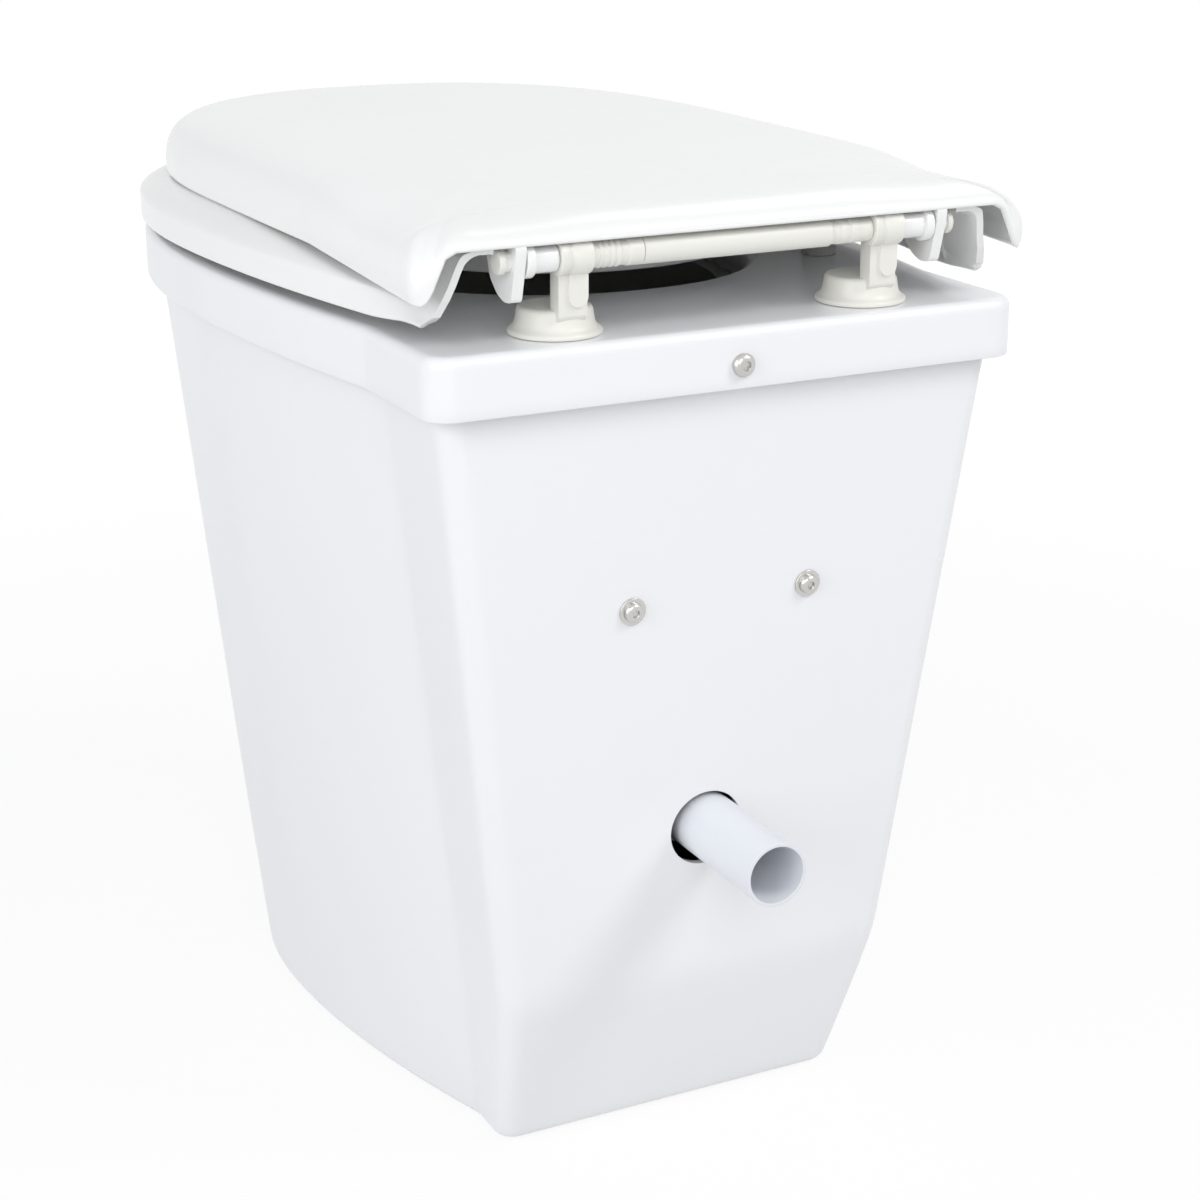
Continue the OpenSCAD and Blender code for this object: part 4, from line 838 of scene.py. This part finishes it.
def material(name, color, rough, bump=0.0, grain=90.0, coat=0.0, metallic=0.0, vary=0.04, ior=1.5):
    """Principled surface with a faint cloudy change of tone and roughness and a fine bump.

    All of it lies on Object coordinates. The tone runs from color (1 - vary) to color (1 + vary / 3), and
    the roughness from 0.9 to 1.15 of rough.
    """
    mat = bpy.data.materials.new(name)
    mat.use_nodes = True
    tree = mat.node_tree
    tree.nodes.clear()
    out = tree.nodes.new("ShaderNodeOutputMaterial")
    shader = tree.nodes.new("ShaderNodeBsdfPrincipled")
    tree.links.new(shader.outputs[0], out.inputs[0])
    shader.inputs["Metallic"].default_value = metallic
    shader.inputs["Coat Weight"].default_value = coat
    shader.inputs["Coat Roughness"].default_value = 0.08
    shader.inputs["IOR"].default_value = ior
    coords = tree.nodes.new("ShaderNodeTexCoord")

    def noise(scale, detail):
        node = tree.nodes.new("ShaderNodeTexNoise")
        node.inputs["Scale"].default_value = scale
        node.inputs["Detail"].default_value = detail
        tree.links.new(coords.outputs["Object"], node.inputs["Vector"])
        return node

    def ramp(source, low, high):
        node = tree.nodes.new("ShaderNodeMapRange")
        node.inputs["To Min"].default_value, node.inputs["To Max"].default_value = low, high
        node.inputs["From Min"].default_value, node.inputs["From Max"].default_value = 0.15, 0.85
        tree.links.new(source.outputs[0], node.inputs["Value"])
        return node

    cloud = noise(9.0, 3.0)
    tone = tree.nodes.new("ShaderNodeMix")
    tone.data_type = "RGBA"
    tone.inputs["A"].default_value = (*[c * (1 - vary) for c in color], 1)
    tone.inputs["B"].default_value = (*[min(c * (1 + vary / 3), 1) for c in color], 1)
    tree.links.new(cloud.outputs[0], tone.inputs["Factor"])
    tree.links.new(tone.outputs["Result"], shader.inputs["Base Color"])
    handled = ramp(noise(14.0, 2.0), rough * 0.9, rough * 1.15)
    tree.links.new(handled.outputs[0], shader.inputs["Roughness"])
    if bump:
        grainy = noise(grain, 3.0)
        node = tree.nodes.new("ShaderNodeBump")
        node.inputs["Strength"].default_value = bump
        node.inputs["Distance"].default_value = 0.0006
        tree.links.new(grainy.outputs[0], node.inputs["Height"])
        tree.links.new(node.outputs[0], shader.inputs["Normal"])
    return mat


MATERIALS = {
    "body": material("tub_white_gloss", (0.865, 0.87, 0.885), 0.34, bump=0.08, grain=60, coat=0.25, vary=0.012),
    "cover": material("cover_white_gloss", (0.865, 0.87, 0.885), 0.34, bump=0.08, grain=60, coat=0.25, vary=0.012),
    "lid_and_seat": material("seat_white_gloss", (0.88, 0.88, 0.872), 0.22, bump=0.04, grain=40, coat=0.12, vary=0.01),
    "hinge": material("hinge_ivory_plastic", (0.81, 0.80, 0.745), 0.38, bump=0.12, grain=220, vary=0.02),
    "rod": material("rod_white_plastic", (0.88, 0.875, 0.85), 0.36, bump=0.08, grain=200, vary=0.02),
    "wing_nut": material("wing_nut_plastic", (0.75, 0.75, 0.73), 0.38, bump=0.15, grain=260, vary=0.04),
    "steel": material("stainless_steel", (0.62, 0.61, 0.59), 0.22, bump=0.12, grain=900, metallic=1.0, vary=0.10),
    "zinc": material("zinc_plated_steel", (0.55, 0.57, 0.60), 0.36, bump=0.15, grain=700, metallic=1.0, vary=0.14),
    "insert": material("insert_grey_plastic", (0.42, 0.43, 0.40), 0.42, bump=0.25, grain=420, vary=0.10),
    "hose": material("hose_pale_rubber", (0.62, 0.66, 0.62), 0.40, bump=0.10, grain=180, vary=0.05),
    "pipe": material("pipe_white_plastic", (0.765, 0.785, 0.825), 0.36, bump=0.10, grain=150, vary=0.02),
    "container": material("container_cream_plastic", (0.62, 0.61, 0.57), 0.40, bump=0.18, grain=240, vary=0.05),
    "grip": material("grip_matte_plastic", (0.52, 0.52, 0.50), 0.55, bump=0.20, grain=400, vary=0.06),
    "buffer": material("buffer_rubber", (0.50, 0.50, 0.48), 0.60, bump=0.20, grain=500, vary=0.06),
}

slot_of = {row["node"]: row["material_slot"] for row in frame["record"]["subparts"]}
for name, ob in nodes.items():
    ob.data.materials.clear()
    ob.data.materials.append(MATERIALS[slot_of[name]])
for ob in bpy.context.scene.objects:
    if ob.type == "MESH" and ob.name not in nodes and "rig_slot" in ob:
        ob.data.materials.clear()
        ob.data.materials.append(MATERIALS[ob["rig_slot"]])

# ---------------------------------------------------------------- floor, light and air


def seen_white(tree):
    """Node that is 1 for camera, glossy and transmission rays, which are shown plain white, and else 0."""
    path = tree.nodes.new("ShaderNodeLightPath")
    two = tree.nodes.new("ShaderNodeMath")
    two.operation = "MAXIMUM"
    tree.links.new(path.outputs["Is Camera Ray"], two.inputs[0])
    tree.links.new(path.outputs["Is Glossy Ray"], two.inputs[1])
    three = tree.nodes.new("ShaderNodeMath")
    three.operation = "MAXIMUM"
    tree.links.new(two.outputs[0], three.inputs[0])
    tree.links.new(path.outputs["Is Transmission Ray"], three.inputs[1])
    return three


def add_stage():
    """White world, a wide pale floor that keeps a soft shadow, and four soft lamps."""
    scene = bpy.context.scene
    world = bpy.data.worlds.new("air")
    scene.world = world
    world.use_nodes = True
    tree = world.node_tree
    tree.nodes.clear()
    out = tree.nodes.new("ShaderNodeOutputWorld")
    white = tree.nodes.new("ShaderNodeBackground")
    white.inputs["Color"].default_value = (1, 1, 1, 1)
    white.inputs["Strength"].default_value = 1.0
    dim = tree.nodes.new("ShaderNodeBackground")
    dim.inputs["Color"].default_value = (0.95, 0.97, 1.0, 1)
    dim.inputs["Strength"].default_value = 0.55
    mix = tree.nodes.new("ShaderNodeMixShader")
    seen = seen_white(tree)
    tree.links.new(seen.outputs[0], mix.inputs[0])
    tree.links.new(dim.outputs[0], mix.inputs[1])
    tree.links.new(white.outputs[0], mix.inputs[2])
    tree.links.new(mix.outputs[0], out.inputs[0])

    me = bpy.data.meshes.new("floor")
    radius, steps = 6, 96
    a = np.linspace(0, 2 * np.pi, steps, endpoint=False)
    ring = np.stack([np.cos(a), np.sin(a), 0 * a], -1)
    me.from_pydata(np.concatenate([ring * radius, [[0, 0, 0]]]).tolist(), [],
                   [[i, (i + 1) % steps, steps] for i in range(steps)])
    floor = bpy.data.objects.new("floor", me)
    scene.collection.objects.link(floor)
    mat = bpy.data.materials.new("pale_floor")
    mat.use_nodes = True
    tree = mat.node_tree
    tree.nodes.clear()
    out = tree.nodes.new("ShaderNodeOutputMaterial")
    matt = tree.nodes.new("ShaderNodeBsdfDiffuse")
    matt.inputs["Color"].default_value = (0.76, 0.76, 0.76, 1)
    glow = tree.nodes.new("ShaderNodeEmission")
    glow.inputs["Color"].default_value = (1, 1, 1, 1)
    glow.inputs["Strength"].default_value = 1.03
    mix = tree.nodes.new("ShaderNodeMixShader")
    coords = tree.nodes.new("ShaderNodeTexCoord")
    away = tree.nodes.new("ShaderNodeVectorMath")
    away.operation = "LENGTH"
    tree.links.new(coords.outputs["Object"], away.inputs[0])
    near = tree.nodes.new("ShaderNodeMapRange")
    for key, value in (("From Min", 0.5), ("From Max", 1.6), ("To Min", 0.86), ("To Max", 1.0)):
        near.inputs[key].default_value = value
    tree.links.new(away.outputs["Value"], near.inputs["Value"])
    share = tree.nodes.new("ShaderNodeMath")
    share.operation = "MULTIPLY"
    tree.links.new(near.outputs[0], share.inputs[1])
    seen = seen_white(tree)
    tree.links.new(seen.outputs[0], share.inputs[0])
    tree.links.new(share.outputs[0], mix.inputs[0])
    tree.links.new(matt.outputs[0], mix.inputs[1])
    tree.links.new(glow.outputs[0], mix.inputs[2])
    tree.links.new(mix.outputs[0], out.inputs[0])
    me.materials.append(mat)

    def lamp(name, place, aim, size, power, color):
        data = bpy.data.lights.new(name, "AREA")
        data.shape = "DISK"
        data.size, data.energy, data.color = size, power, color
        ob = bpy.data.objects.new(name, data)
        back = np.subtract(place, aim)
        back = back / np.linalg.norm(back)
        right = unit(np.cross([0, 0, 1], back))
        m = np.eye(4)
        m[:3, :3] = np.column_stack([right, np.cross(back, right), back])
        m[:3, 3] = place
        ob.matrix_world = Matrix(m.tolist())
        scene.collection.objects.link(ob)

    lamp("key", (-1.3, 1.5, 2.0), (0, 0.1, 0.25), 0.9, 19, (1, 0.99, 0.98))
    lamp("fill", (1.9, 0.8, 0.95), (0, 0, 0.25), 1.6, 15, (0.98, 0.985, 1))
    lamp("front", (0.75, 2.2, 1.42), (0, 0.1, 0.43), 1.3, 11, (1, 1, 1))
    lamp("far", (-1.9, -1.6, 2.6), (0, 0, 0.25), 1.6, 6, (1, 1, 1))
    scene.view_settings.view_transform = "Standard"


add_stage()
